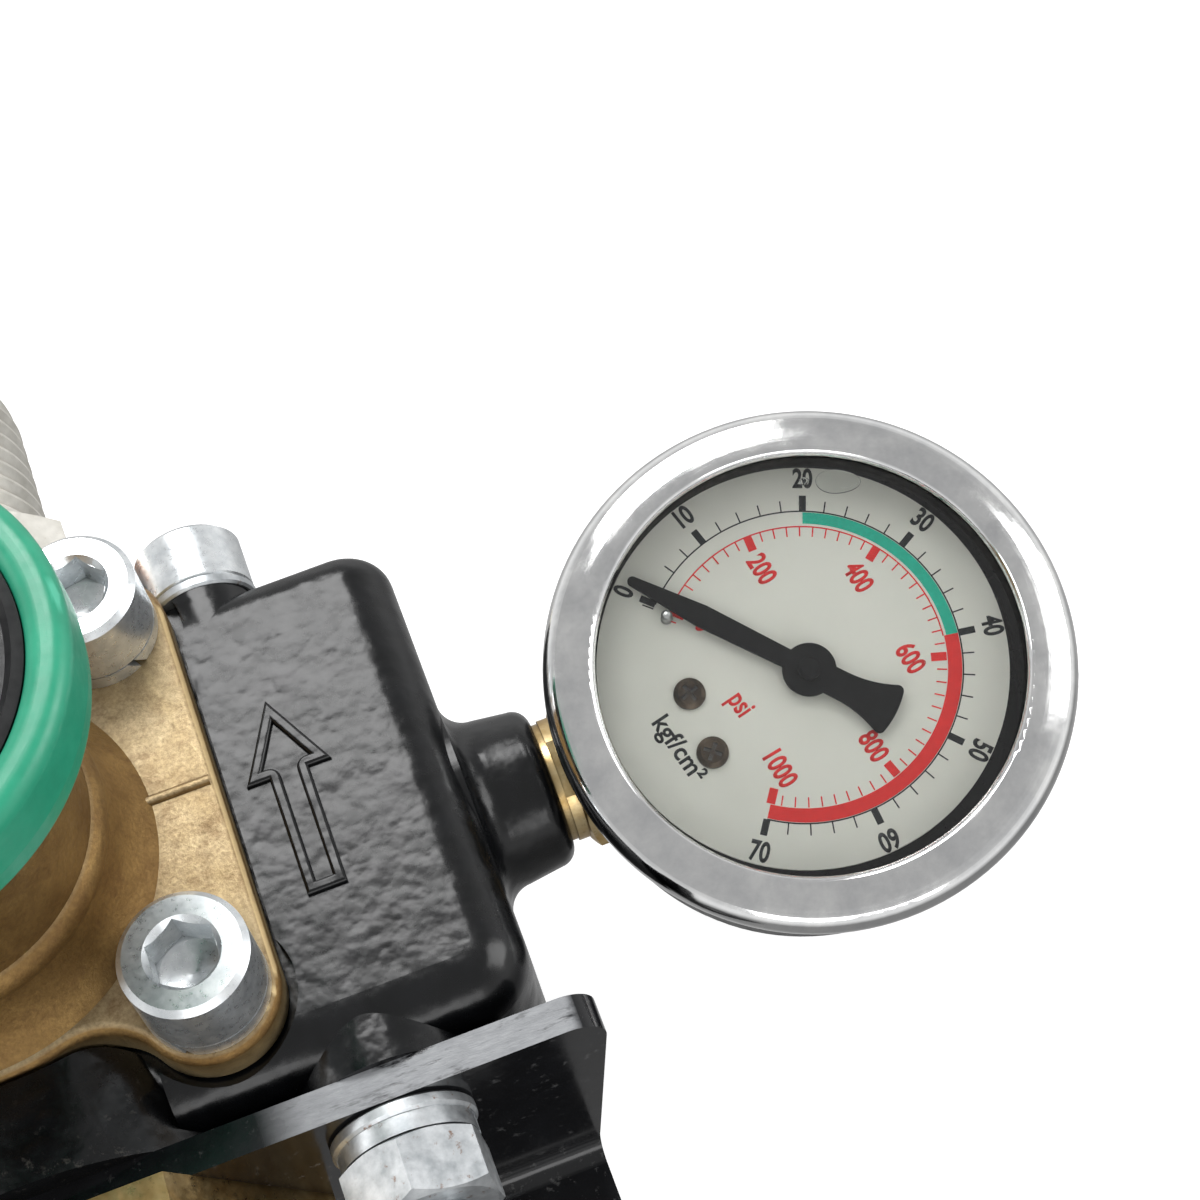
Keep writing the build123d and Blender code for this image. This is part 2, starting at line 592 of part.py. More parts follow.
def bottom_plug():
    """Closes the lower chamber and guides the poppet's tail; turned with a pin spanner."""
    solid = turned([(0, 0), (PLUG_R - 1.0, 0), (PLUG_R - CLEAR, 0.9), (PLUG_R - CLEAR, 5.3),
                    (PLUG_R - 2.6, 5.3), (PLUG_R - 2.6, PLUG_H), (TAIL_R + RUNNING, PLUG_H),
                    (TAIL_R + RUNNING, 2.4), (0, 2.4)])
    for side in (-1, 1):
        solid -= rod_z(1.8, -1, 3.6, side * 9.0, 0)
    return solid


def bottom_plug_o_ring():
    return seal_ring(PLUG_R - 1.3, 0.98, 6.4)


# ---------------------------------------------------------------- port fittings
def outlet_nipple():
    """Hexagon nipple with an M42 x 3 male hose thread, made on +Z and laid along +Y."""
    start = BOSS_BACK_Y
    low = start - PORT_THREAD_DEPTH + 1.5
    root = NIPPLE_THREAD_R - 0.95
    crest_low, crest_high = 0.42 * NIPPLE_PITCH, 0.58 * NIPPLE_PITCH
    stub = turned([(0, low), (PORT_THREAD_R - 1.5, low), (PORT_THREAD_R - CLEAR, low + 1.5),
                   (PORT_THREAD_R - CLEAR, start + SEAL_T), (0, start + SEAL_T)])
    collar = chamfered_hexagon(NIPPLE_AF, start + SEAL_T, NIPPLE_HEX_END, NIPPLE_TURN)
    z = NIPPLE_HEX_END + 1.0
    points = [(0, NIPPLE_HEX_END), (root, NIPPLE_HEX_END), (root, z)]
    while z + NIPPLE_PITCH < NIPPLE_END - 5.0:
        points += [(NIPPLE_THREAD_R, z + crest_low), (NIPPLE_THREAD_R, z + crest_high),
                   (root, z + NIPPLE_PITCH)]
        z += NIPPLE_PITCH
    points += [(NIPPLE_THREAD_R - 0.4, z + crest_low), (NIPPLE_THREAD_R - 0.6, z + 0.7 * NIPPLE_PITCH),
               (root - 1.6, NIPPLE_END), (0, NIPPLE_END)]
    solid = stub + collar + turned(points)
    bore = rod_z(OUTLET_BORE_R, start - PORT_THREAD_DEPTH, NIPPLE_END + 1)
    mouth = turned([(0, NIPPLE_END - 3), (OUTLET_BORE_R, NIPPLE_END - 3), (OUTLET_BORE_R + 3, NIPPLE_END + 0.01),
                    (0, NIPPLE_END + 0.01)])
    return along_y(solid - bore - mouth)


def sealing_washer(y_low, y_high):
    return along_y(rod_z(SEAL_OUT_R, y_low, y_high) - rod_z(PORT_THREAD_R + 0.2, y_low - 1, y_high + 1))


def outlet_seal():
    return sealing_washer(BOSS_BACK_Y, BOSS_BACK_Y + SEAL_T)


def inlet_adaptor():
    """Bronze hexagon adaptor that also clamps the bracket; made on +Z and laid along -Y."""
    plate = PLATE_FRONT
    stub = turned([(0, PLATE_BACK - 15), (PORT_THREAD_R - 1.5, PLATE_BACK - 15),
                   (PORT_THREAD_R - CLEAR, PLATE_BACK - 13.5), (PORT_THREAD_R - CLEAR, plate), (0, plate)])
    nut = chamfered_hexagon(INLET_HEX_AF, plate, plate + 17, at_low=False)
    collar = turned([(0, plate + 17), (23.5, plate + 17), (23.5, INLET_END - 1), (22.5, INLET_END),
                     (0, INLET_END)])
    solid = stub + nut + collar
    solid -= rod_z(INLET_BORE_R, PLATE_BACK - 20, INLET_END)
    solid -= rod_z(STRAINER_LIP_R + 0.4, INLET_END - STRAINER_STEP, INLET_END)
    solid -= rod_z(INLET_THREAD_R, INLET_END - INLET_THREAD_LENGTH, INLET_END + 1)
    solid -= turned([(0, INLET_END - 2), (INLET_THREAD_R, INLET_END - 2), (INLET_THREAD_R + 2, INLET_END),
                     (INLET_THREAD_R + 2, INLET_END + 1), (0, INLET_END + 1)])
    return Pos(0, 0, PORT_Z) * Rot(90, 0, 0) * solid


def inlet_strainer():
    """Perforated thimble with a rolled lip, seated on the step inside the adaptor."""
    lip = INLET_END - STRAINER_STEP
    wall = INLET_BORE_R - 1.2
    cup = turned([(wall - 0.6, lip + 1.2), (wall - 0.6, lip - 16), (0, lip - 16), (0, lip - 16.6),
                  (wall, lip - 16.6), (wall, lip), (STRAINER_LIP_R, lip), (STRAINER_LIP_R, lip + 1.2)])
    for row in range(3):
        for k in range(5):
            hole = Rot(0, 0, 36 * k + 18 * row) * rod_x(1.3, -20, 20, 0, 0)
            cup -= Pos(0, 0, lip - 3.6 - 4.4 * row) * hole
    return Pos(0, 0, PORT_Z) * Rot(90, 0, 0) * cup


def side_port_plug():
    """Hexagon plug with a flange that closes the spare gauge port on the -X side."""
    face = GAUGE_BOSS_X
    solid = turned([(0, face - 10), (GAUGE_THREAD_R - 1, face - 10), (GAUGE_THREAD_R - CLEAR, face - 9),
                    (GAUGE_THREAD_R - CLEAR, face + 1.2), (9.4, face + 1.2), (9.4, face + 3.2), (0, face + 3.2)])
    solid += chamfered_hexagon(14.0, face + 3.2, face + 10.0, 0, at_low=False)
    return mirror(along_x(solid), Plane.YZ)


def side_port_seal():
    ring = rod_z(9.2, GAUGE_BOSS_X, GAUGE_BOSS_X + 1.2) - rod_z(GAUGE_THREAD_R + 0.2, 0, GAUGE_BOSS_X + 5)
    return mirror(along_x(ring), Plane.YZ)


# ---------------------------------------------------------------- bracket and its fasteners
def bracket():
    """Pressed steel angle: tapered upright behind the nuts, slotted foot towards the front."""
    top_half, bend_half, bend_r = PLATE_TOP_HALF, PLATE_BEND_HALF, BEND_R
    leg_low = LEG_TOP_Z - PLATE_T
    with BuildSketch(Plane.YZ) as section:
        with BuildLine():
            Polyline((-PLATE_BACK, PLATE_TOP_Z), (-PLATE_BACK, leg_low + bend_r + PLATE_T))
            RadiusArc((-PLATE_BACK, leg_low + bend_r + PLATE_T),
                      (-PLATE_BACK - bend_r - PLATE_T, leg_low), bend_r + PLATE_T)
            Polyline((-PLATE_BACK - bend_r - PLATE_T, leg_low), (-LEG_FRONT, leg_low),
                     (-LEG_FRONT, LEG_TOP_Z), (-PLATE_FRONT - bend_r, LEG_TOP_Z))
            RadiusArc((-PLATE_FRONT - bend_r, LEG_TOP_Z), (-PLATE_FRONT, LEG_TOP_Z + bend_r), -bend_r)
            Polyline((-PLATE_FRONT, LEG_TOP_Z + bend_r), (-PLATE_FRONT, PLATE_TOP_Z),
                     (-PLATE_BACK, PLATE_TOP_Z))
        make_face()
    solid = extrude(section.sketch, top_half, both=True)

    # plan of the upright's face: the ends slope in towards the bend, with rounded top corners
    outline = make_face(Polyline((-bend_half, 0), (bend_half, 0), (bend_half, LEG_TOP_Z),
                                 (top_half, PLATE_TOP_Z), (-top_half, PLATE_TOP_Z),
                                 (-bend_half, LEG_TOP_Z), close=True))
    corners = outline.vertices().group_by(Axis.Y)[-1]
    outline = fillet(corners, PLATE_CORNER_R)
    cutter = extrude(Plane.XZ * outline, LEG_FRONT + 5)
    solid = solid & cutter

    # foot: rounded front corners and two slots
    for side in (-1, 1):
        solid -= block_corner(side * bend_half, -LEG_FRONT, LEG_CORNER_R)
        slot = extrude(SlotOverall(FOOT_SLOT_LENGTH, FOOT_SLOT_WIDTH), 20)
        solid -= Pos(side * FOOT_SLOT_X, -FOOT_SLOT_Y, 0) * slot
        solid -= rod_y(STUD_R + 0.5, -PLATE_FRONT - 1, -PLATE_BACK + 1, side * STUD_X, STUD_Z)
    solid -= rod_y(PORT_THREAD_R + 0.3, -PLATE_FRONT - 1, -PLATE_BACK + 1, 0, PORT_Z)

    # the adaptor's hexagon dips below the foot's level, so the foot is notched about it
    notch = INLET_HEX_AF / sqrt(3) + 3.0
    solid -= block(-notch, notch, -INLET_END - 30, -PLATE_FRONT, 0, LEG_TOP_Z + bend_r + 0.5)
    return solid


def block_corner(x, y, radius):
    """Waste outside a corner rounding of the foot, for a corner at (x, y)."""
    side = 1 if x > 0 else -1
    waste = block(min(x, x - side * radius), max(x, x - side * radius), y, y + radius, 0, 20)
    grown = Pos(side, -1, 0) * waste + waste
    return grown - rod_z(radius, -1, 21, x - side * radius, y + radius)


def at_studs(shape):
    """Copies of a shape made on +Z, laid along -Y on both stud axes."""
    turns = (14, 4)
    return group(Pos(side * STUD_X, 0, STUD_Z) * Rot(90, 0, 0) * Rot(0, 0, turn) * shape
                 for side, turn in zip((-1, 1), turns))


def bracket_studs():
    end = PLATE_FRONT + FLAT_T + SPLIT_T + NUT_H + 3.6
    low = PLATE_BACK - STUD_DEPTH + 1
    return at_studs(turned([(0, low), (STUD_R - 0.9, low), (STUD_R - CLEAR, low + 0.9),
                            (STUD_R - CLEAR, end - 1.1), (STUD_R - 1.2, end), (0, end)]))


def bracket_flat_washers():
    return at_studs(Pos(0, 0, PLATE_FRONT + FLAT_T / 2) * flat_washer(STUD_R + 0.2, FLAT_R, FLAT_T))


def bracket_spring_washers():
    return at_studs(Pos(0, 0, PLATE_FRONT + FLAT_T + SPLIT_T / 2) * split_washer(STUD_R + 0.1, SPLIT_R, SPLIT_T))


def bracket_nuts():
    low = PLATE_FRONT + FLAT_T + SPLIT_T
    nut = chamfered_hexagon(17.0, low, low + NUT_H, 30)
    nut -= rod_z(STUD_R, low - 1, low + NUT_H + 1)
    return at_studs(nut)


def at_rear(shape):
    """Copies of a shape made on +Z, laid along +Y on both rear screw axes."""
    return group(Pos(side * REAR_SCREW_X, 0, REAR_SCREW_Z) * Rot(-90, 0, 0) * shape for side in (-1, 1))


def rear_screws():
    screw = socket_screw(REAR_R - CLEAR, REAR_HEAD_R, 8.6, 8.0, 16.0)
    return at_rear(Pos(0, 0, REAR_PAD_Y + REAR_WASHER_T) * screw)


def rear_washers():
    washer = flat_washer(REAR_R + 0.2, REAR_WASHER_R, REAR_WASHER_T)
    return at_rear(Pos(0, 0, REAR_PAD_Y + REAR_WASHER_T / 2) * washer)


# ---------------------------------------------------------------- gauge, in its own tilted frame
TILT = radians(GAUGE_TILT)
GAUGE_PLANE = Plane(origin=(GAUGE_X, STEM_Y - FACE_UP * sin(TILT), STEM_Z + FACE_UP * cos(TILT)),
                    x_dir=(1, 0, 0), z_dir=(0, -sin(TILT), cos(TILT)))
STEM_LOCAL_X = GAUGE_BOSS_X - GAUGE_X    # boss face seen from the case centre

CENTRES = MODULE * (PINION_TEETH + SECTOR_TEETH) / 2
SECTOR_X = CENTRES * cos(radians(SECTOR_ANGLE))
SECTOR_Y = CENTRES * sin(radians(SECTOR_ANGLE))
TAIL_X = SECTOR_X + TAIL_LENGTH * cos(radians(TAIL_ANGLE))
TAIL_Y = SECTOR_Y + TAIL_LENGTH * sin(radians(TAIL_ANGLE))
LINK_END_X = (TUBE_R - LINK_PIN_IN) * cos(radians(TUBE_TIP))
LINK_END_Y = (TUBE_R - LINK_PIN_IN) * sin(radians(TUBE_TIP))


def placed(shape):
    """Move a shape from the gauge's own frame to the valve."""
    return GAUGE_PLANE.location * shape


def bore_hex_stub():
    """Stem pieces turned about the stem axis, which runs along the gauge's X."""
    face = STEM_LOCAL_X
    neck_end = face + 2.4
    hex_end = -CASE_R + 0.6
    stub = turned([(0, face - 11), (GAUGE_THREAD_R - 1, face - 11), (GAUGE_THREAD_R - CLEAR, face - 10),
                   (GAUGE_THREAD_R - CLEAR, face + 0.9), (8.3, face + 0.9), (8.3, neck_end), (0, neck_end)])
    hexed = chamfered_hexagon(17.5, neck_end, hex_end, 30)
    neck = rod_z(5.6, hex_end - 0.5, BLOCK_X0 + 1)
    return stub + hexed + neck


def gauge_socket():
    """Brass stem, hexagon and socket block in one, bored for the pressure."""
    turned_part = Pos(0, 0, -FACE_UP) * Rot(0, 90, 0) * bore_hex_stub()
    solid = block(BLOCK_X0, BLOCK_X1, -BLOCK_HALF, BLOCK_HALF, BLOCK_LOW, BLOCK_HIGH)
    solid = solid & rod_z(CASE_R - CASE_T - 0.6, BLOCK_LOW - 1, BLOCK_HIGH + 1)
    solid += block(BLOCK_X1 - 1, SHELF_X, -BLOCK_HALF, BLOCK_HALF, BLOCK_LOW, SHELF_Z)
    for x, y in DIAL_SCREWS:
        solid += rod_z(1.9, BLOCK_HIGH - 1, DIAL_TOP - DIAL_T, x, y)
        solid -= rod_z(0.9, DIAL_TOP - 4, DIAL_TOP + 1, x, y)
    solid -= tube_slot()
    bore = Pos(0, 0, -FACE_UP) * rod_x(1.5, STEM_LOCAL_X - 12, BLOCK_X1 - 5)
    under_bezel = block(STEM_LOCAL_X, -CASE_R + 0.7, -20, 20, BEZEL_BACK - 0.15, 5)
    return placed(solid + (turned_part - under_bezel) - bore)


def gauge_seal_washer():
    ring = rod_z(8.0, STEM_LOCAL_X, STEM_LOCAL_X + 0.9) - rod_z(GAUGE_THREAD_R + 0.2, STEM_LOCAL_X - 3,
                                                               STEM_LOCAL_X + 3)
    return placed(Pos(0, 0, -FACE_UP) * Rot(0, 90, 0) * ring)


def bent_bar(thick, width, first, last, rounding):
    """Flat bar bent round the case centre between two angles."""
    section = Rectangle(thick, width)
    section = fillet(section.vertices(), rounding)
    return Rot(0, 0, first) * revolve(Plane.XZ * Pos(TUBE_R, -FACE_UP) * section, Axis.Z,
                                      revolution_arc=last - first)


def tube_slot():
    """Curved pocket of the socket block that takes the root of the Bourdon tube."""
    return bent_bar(TUBE_THICK + 0.4, TUBE_WIDTH + 0.4, TUBE_ROOT - 16, TUBE_ROOT + TUBE_TRAVEL + 1, 0.9)


def gauge_case():
    inner = CASE_R - CASE_T
    corner = 3.0
    with BuildSketch(Plane.XZ) as profile:
        with BuildLine():
            Polyline((0, -CASE_DEPTH), (CASE_R - corner, -CASE_DEPTH))
            RadiusArc((CASE_R - corner, -CASE_DEPTH), (CASE_R, -CASE_DEPTH + corner), -corner)
            Polyline((CASE_R, -CASE_DEPTH + corner), (CASE_R, MOUTH_Z), (inner, MOUTH_Z),
                     (inner, -CASE_DEPTH + corner))
            RadiusArc((inner, -CASE_DEPTH + corner), (CASE_R - corner, -CASE_DEPTH + CASE_T), corner - CASE_T)
            Polyline((CASE_R - corner, -CASE_DEPTH + CASE_T), (0, -CASE_DEPTH + CASE_T), (0, -CASE_DEPTH))
        make_face()
    solid = revolve(profile.sketch, Axis.Z)
    solid -= Pos(0, 0, -FACE_UP) * rod_x(5.6 + CLEAR, -CASE_R - 4, -CASE_R + 6)
    solid -= Pos(0, 0, -FACE_UP) * Rot(0, 90, 0) * hexagon(17.9, -CASE_R - 6, -CASE_R + 0.65, 30)
    solid -= Pos(0, 0, -FACE_UP) * rod_x(FILL_R, CASE_R - 6, CASE_R + 4)
    return placed(solid)


def fill_plug():
    """Rubber plug pressed in the filling hole opposite the stem."""
    inner = sqrt((CASE_R - CASE_T) ** 2 - (FILL_R + 1) ** 2) - 0.9
    solid = turned([(0, inner - 1.4), (FILL_R + 0.8, inner - 1.4), (FILL_R + 1.0, inner - 0.3),
                    (FILL_R - CLEAR, inner), (FILL_R - CLEAR, CASE_R + 0.1), (FILL_R + 1.4, CASE_R + 0.1),
                    (FILL_R + 1.2, CASE_R + 1.5), (FILL_R, CASE_R + 2.0), (0, CASE_R + 2.2)])
    return placed(Pos(0, 0, -FACE_UP) * Rot(0, 90, 0) * solid)


def gauge_bezel():
    """Rolled steel ring: bulged outside, a gently domed front face and a turned-in inner lip."""
    inner = CASE_R + CLEAR
    with BuildSketch(Plane.XZ) as profile:
        with BuildLine():
            Polyline((inner, BEZEL_BACK), (inner + 0.9, BEZEL_BACK))
            RadiusArc((inner + 0.9, BEZEL_BACK), (BEZEL_R, 0.3), -7.4)
            RadiusArc((BEZEL_R, 0.3), (BEZEL_R - 1.6, 2.83), -2.8)
            RadiusArc((BEZEL_R - 1.6, 2.83), (WINDOW_R + 1.0, 4.0), -13.4)
            RadiusArc((WINDOW_R + 1.0, 4.0), (WINDOW_R, 2.9), -1.1)
            Polyline((WINDOW_R, 2.9), (WINDOW_R + 0.8, 2.86), (inner - 0.6, 2.3), (inner, 1.6),
                     (inner, BEZEL_BACK))
        make_face()
    return placed(revolve(profile.sketch, Axis.Z))


def gauge_lens():
    return placed(chamfer(rod_z(LENS_R, LENS_LOW, LENS_HIGH).edges(), 0.3))


def gauge_lens_gasket():
    """Deep rubber ring round the dial, with a flange between the case mouth and the window."""
    skirt = rod_z(CASE_R - CASE_T - 0.1, DIAL_TOP - 0.4, LENS_LOW) + rod_z(CASE_R - 0.1, MOUTH_Z, LENS_LOW)
    return placed(skirt - rod_z(GASKET_IN_R, DIAL_TOP - 2, LENS_LOW + 1))


def gauge_dial():
    plate = rod_z(DIAL_R, DIAL_TOP - DIAL_T, DIAL_TOP, DIAL_OFF_X, DIAL_OFF_Y)
    plate -= rod_z(2.2, DIAL_TOP - 2, DIAL_TOP + 1)
    for x, y in DIAL_SCREWS:
        plate -= rod_z(1.1, DIAL_TOP - 2, DIAL_TOP + 1, x, y)
    angle = radians(STOP_PIN_ANGLE)
    plate -= rod_z(0.8, DIAL_TOP - 2, DIAL_TOP + 1, STOP_PIN_R * cos(angle), STOP_PIN_R * sin(angle))
    return placed(plate)


def dial_screws():
    """Two small pan head screws with cross recesses."""
    head = turned([(0, 0), (2.1, 0), (2.05, 0.45), (1.5, 0.82), (0, 0.95)])
    cross = Pos(0, 0, 0.8) * (Box(2.4, 0.5, 0.9) + Box(0.5, 2.4, 0.9))
    screw = head + rod_z(0.85, -3.2, 0) - cross
    turns = (20, 50)
    return placed(group(Pos(x, y, DIAL_TOP) * Rot(0, 0, turn) * screw
                        for (x, y), turn in zip(DIAL_SCREWS, turns)))


def stop_pin():
    angle = radians(STOP_PIN_ANGLE)
    low, high = DIAL_TOP - 1.2, DIAL_TOP + 2.0
    pin = turned([(0, low), (0.75, low), (0.75, high - 0.5), (0.45, high - 0.12), (0, high)])
    return placed(Pos(STOP_PIN_R * cos(angle), STOP_PIN_R * sin(angle), 0) * pin)


def pointer():
    """Hand with a round hub, a blunt tip, a broad neck and a flared counterweight."""
    tip, half = POINTER_TIP - POINTER_TIP_HALF, POINTER_TIP_HALF
    blade = make_face(Polyline((0, 1.2), (15.5, 1.5), (tip, half), (tip, -half), (15.5, -1.5), (0, -1.2),
                               close=True))
    blade += Pos(tip, 0) * Circle(half)
    with BuildSketch() as flared:
        with BuildLine():
            Polyline((-4.5, 1.9), (0, 1.9), (0, -1.9), (-4.5, -1.9))
            ThreePointArc((-4.5, -1.9), (-8.9, -2.55), (-13.0, -4.5))
            Line((-13.0, -4.5), (-13.0, 4.5))
            ThreePointArc((-13.0, 4.5), (-8.9, 2.55), (-4.5, 1.9))
        make_face()
    fan = Circle(TAIL_OUT) & flared.sketch
    fan = fillet(fan.vertices().group_by(Axis.X)[0], 0.8)
    hand = extrude(Circle(3.5) + blade + fan, POINTER_Z1 - POINTER_Z0)
    boss = turned([(0, 0), (1.5, 0), (1.5, 0.9), (1.1, 1.2), (0, 1.2)])
    solid = Pos(0, 0, POINTER_Z0) * hand + Pos(0, 0, POINTER_Z1) * boss
    solid -= rod_z(ARBOR_R, POINTER_Z0 - 1, POINTER_Z0 + 1.1)
    return placed(Rot(0, 0, POINTER_ANGLE) * solid)


def tooth_ring(teeth, first, last, addendum, dedendum, thin, low, high):
    """Gear rim with straight-sided teeth from the first to the last tooth angle."""
    pitch_r = MODULE * teeth / 2
    step = 360.0 / teeth
    outer, inner = pitch_r + addendum, pitch_r - dedendum
    half = step / 4 * thin
    faces = []
    count = round((last - first) / step)
    for k in range(count + 1):
        mid = first + k * step
        corners = [(inner - 0.15, half * 1.55), (inner, half * 1.5), (pitch_r, half), (outer, half * 0.42)]
        points = [(r * cos(radians(mid - a)), r * sin(radians(mid - a))) for r, a in corners]
        points += [(r * cos(radians(mid + a)), r * sin(radians(mid + a))) for r, a in reversed(corners)]
        faces.append(make_face(Polyline(*points, close=True)))
    teeth_shape = Sketch() + faces
    return Pos(0, 0, low) * extrude(teeth_shape, high - low)


def pinion_arbor():
    """Arbor with the pinion cut on it; the pointer is pressed on its front end."""
    pitch_r = MODULE * PINION_TEETH / 2
    step = 360.0 / PINION_TEETH
    start = SECTOR_ANGLE + step / 2
    teeth = tooth_ring(PINION_TEETH, start, start + 360 - step, 0.24, 0.36, 0.8, GEAR_Z0 - 0.3, GEAR_Z1 + 0.3)
    solid = teeth + rod_z(pitch_r - 0.34, GEAR_Z0 - 0.3, GEAR_Z1 + 0.3)
    return placed(solid + rod_z(ARBOR_R, PLATE_LOW_Z - 0.4, POINTER_Z0 + 1.1))


def sector_gear():
    """Toothed segment on its own arbor, with the tail that the link pulls."""
    pitch_r = MODULE * SECTOR_TEETH / 2
    step = 360.0 / SECTOR_TEETH
    mesh = SECTOR_ANGLE - 180
    first, last = mesh - 8 * step, mesh + step
    teeth = tooth_ring(SECTOR_TEETH, first, last, 0.24, 0.36, 0.8, GEAR_Z0, GEAR_Z1)
    inner = pitch_r - 0.36
    wedge = Polyline((0, 0), (20 * cos(radians(first - 2)), 20 * sin(radians(first - 2))),
                     (20 * cos(radians(last + 2)), 20 * sin(radians(last + 2))), close=True)
    web = Circle(inner) & make_face(wedge)
    window = offset(web & (Circle(inner - 0.7) - Circle(3.4)), -1.0)
    segment = extrude(web - window + Circle(2.2), GEAR_Z1 - GEAR_Z0)
    tail_x, tail_y = TAIL_X - SECTOR_X, TAIL_Y - SECTOR_Y
    tail = Pos(tail_x / 2, tail_y / 2) * Rot(0, 0, TAIL_ANGLE) * SlotCenterToCenter(TAIL_LENGTH, 1.8)
    solid = Pos(0, 0, GEAR_Z0) * (segment + extrude(tail, 0.8)) + teeth
    solid += rod_z(ARBOR_R, PLATE_LOW_Z - 0.4, PLATE_HIGH_Z + MOVEMENT_T + 0.4)
    solid += rod_z(0.45, LINK_Z - 0.3, GEAR_Z0 + 0.1, tail_x, tail_y)
    return placed(Pos(SECTOR_X, SECTOR_Y, 0) * solid)


def movement_plate(z):
    """Plate that carries one end of both arbors and of the pillars."""
    eyes = Circle(4.5).edges() + (Pos(SECTOR_X, SECTOR_Y) * Circle(3.0)).edges()
    for x, y in PILLARS:
        eyes += (Pos(x, y) * Circle(PILLAR_EYE_R)).edges()
    plate = Pos(0, 0, z) * extrude(make_hull(eyes), MOVEMENT_T)
    plate -= rod_z(ARBOR_R + ARBOR_CLEAR, z - 1, z + 2)
    plate -= rod_z(ARBOR_R + ARBOR_CLEAR, z - 1, z + 2, SECTOR_X, SECTOR_Y)
    for x, y in PILLARS:
        plate -= rod_z(0.8, z - 1, z + 2, x, y)
    return placed(plate)


def back_movement_plate():
    return movement_plate(PLATE_LOW_Z)


def front_movement_plate():
    return movement_plate(PLATE_HIGH_Z)


def movement_pillars():
    """Shouldered pillars that space the two movement plates, with their screw heads."""
    pillar = rod_z(1.4, PLATE_LOW_Z + MOVEMENT_T, PLATE_HIGH_Z) + rod_z(0.78, PLATE_LOW_Z, PLATE_HIGH_Z + 1)
    head = turned([(0, 0), (1.5, 0), (1.4, 0.5), (0.9, 0.8), (0, 0.8)])
    pillar += Pos(0, 0, PLATE_HIGH_Z + MOVEMENT_T) * head
    return placed(group(Pos(x, y, 0) * pillar for x, y in PILLARS))


def bourdon_tube():
    """Flattened tube bent to a C, with the tip piece that holds the link's pin."""
    solid = bent_bar(TUBE_THICK, TUBE_WIDTH, TUBE_TIP, TUBE_ROOT, TUBE_THICK * 0.42)
    tip = Pos(TUBE_R, 0, -FACE_UP) * Box(TUBE_THICK + 0.8, 2.4, TUBE_WIDTH + 0.6)
    ear = Pos(TUBE_R - 2.2, 0, LINK_Z - 0.6) * Box(4.4, 2.4, 0.6)
    pin = rod_z(0.4, LINK_Z - 0.7, LINK_Z + 1.0, TUBE_R - LINK_PIN_IN, 0)
    return placed(solid + Rot(0, 0, TUBE_TIP) * (tip + ear + pin))


def link():
    """Flat link from the tube's tip to the tail of the sector."""
    dx, dy = LINK_END_X - TAIL_X, LINK_END_Y - TAIL_Y
    length = sqrt(dx * dx + dy * dy)
    bar = SlotCenterToCenter(length, 2.4)
    bar -= Pos(-length / 2, 0) * Circle(0.45 + ARBOR_CLEAR)
    bar -= Pos(length / 2, 0) * Circle(0.75)
    at = Pos(TAIL_X + dx / 2, TAIL_Y + dy / 2, LINK_Z) * Rot(0, 0, degrees(atan2(dy, dx)))
    return placed(at * extrude(bar, LINK_T))


# ---------------------------------------------------------------- write every node
NODES = [
    valve_body, bonnet, bonnet_gasket, bonnet_screws, bonnet_spring_washers,
    piston_guide, guide_o_ring, piston, piston_o_ring, regulating_spring, upper_spring_seat,
    spindle, lock_nut, knob_core, knob_grip, knob_washer, knob_nut,
    valve_seat, poppet, poppet_seal, poppet_spring, bottom_plug, bottom_plug_o_ring,
    outlet_nipple, outlet_seal, inlet_adaptor, inlet_strainer, side_port_plug, side_port_seal,
    bracket, bracket_studs, bracket_flat_washers, bracket_spring_washers, bracket_nuts,
    rear_screws, rear_washers,
    gauge_socket, gauge_seal_washer, gauge_case, fill_plug, gauge_bezel, gauge_lens, gauge_lens_gasket,
    gauge_dial, dial_screws, stop_pin, pointer, pinion_arbor, sector_gear,
    back_movement_plate, front_movement_plate, movement_pillars, bourdon_tube, link,
]

os.makedirs("parts", exist_ok=True)
for make in NODES:
    export_step(make(), os.path.join("parts", make.__name__ + ".step"))
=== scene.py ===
import json
import math

import bmesh
import bpy
from mathutils import Matrix, Vector


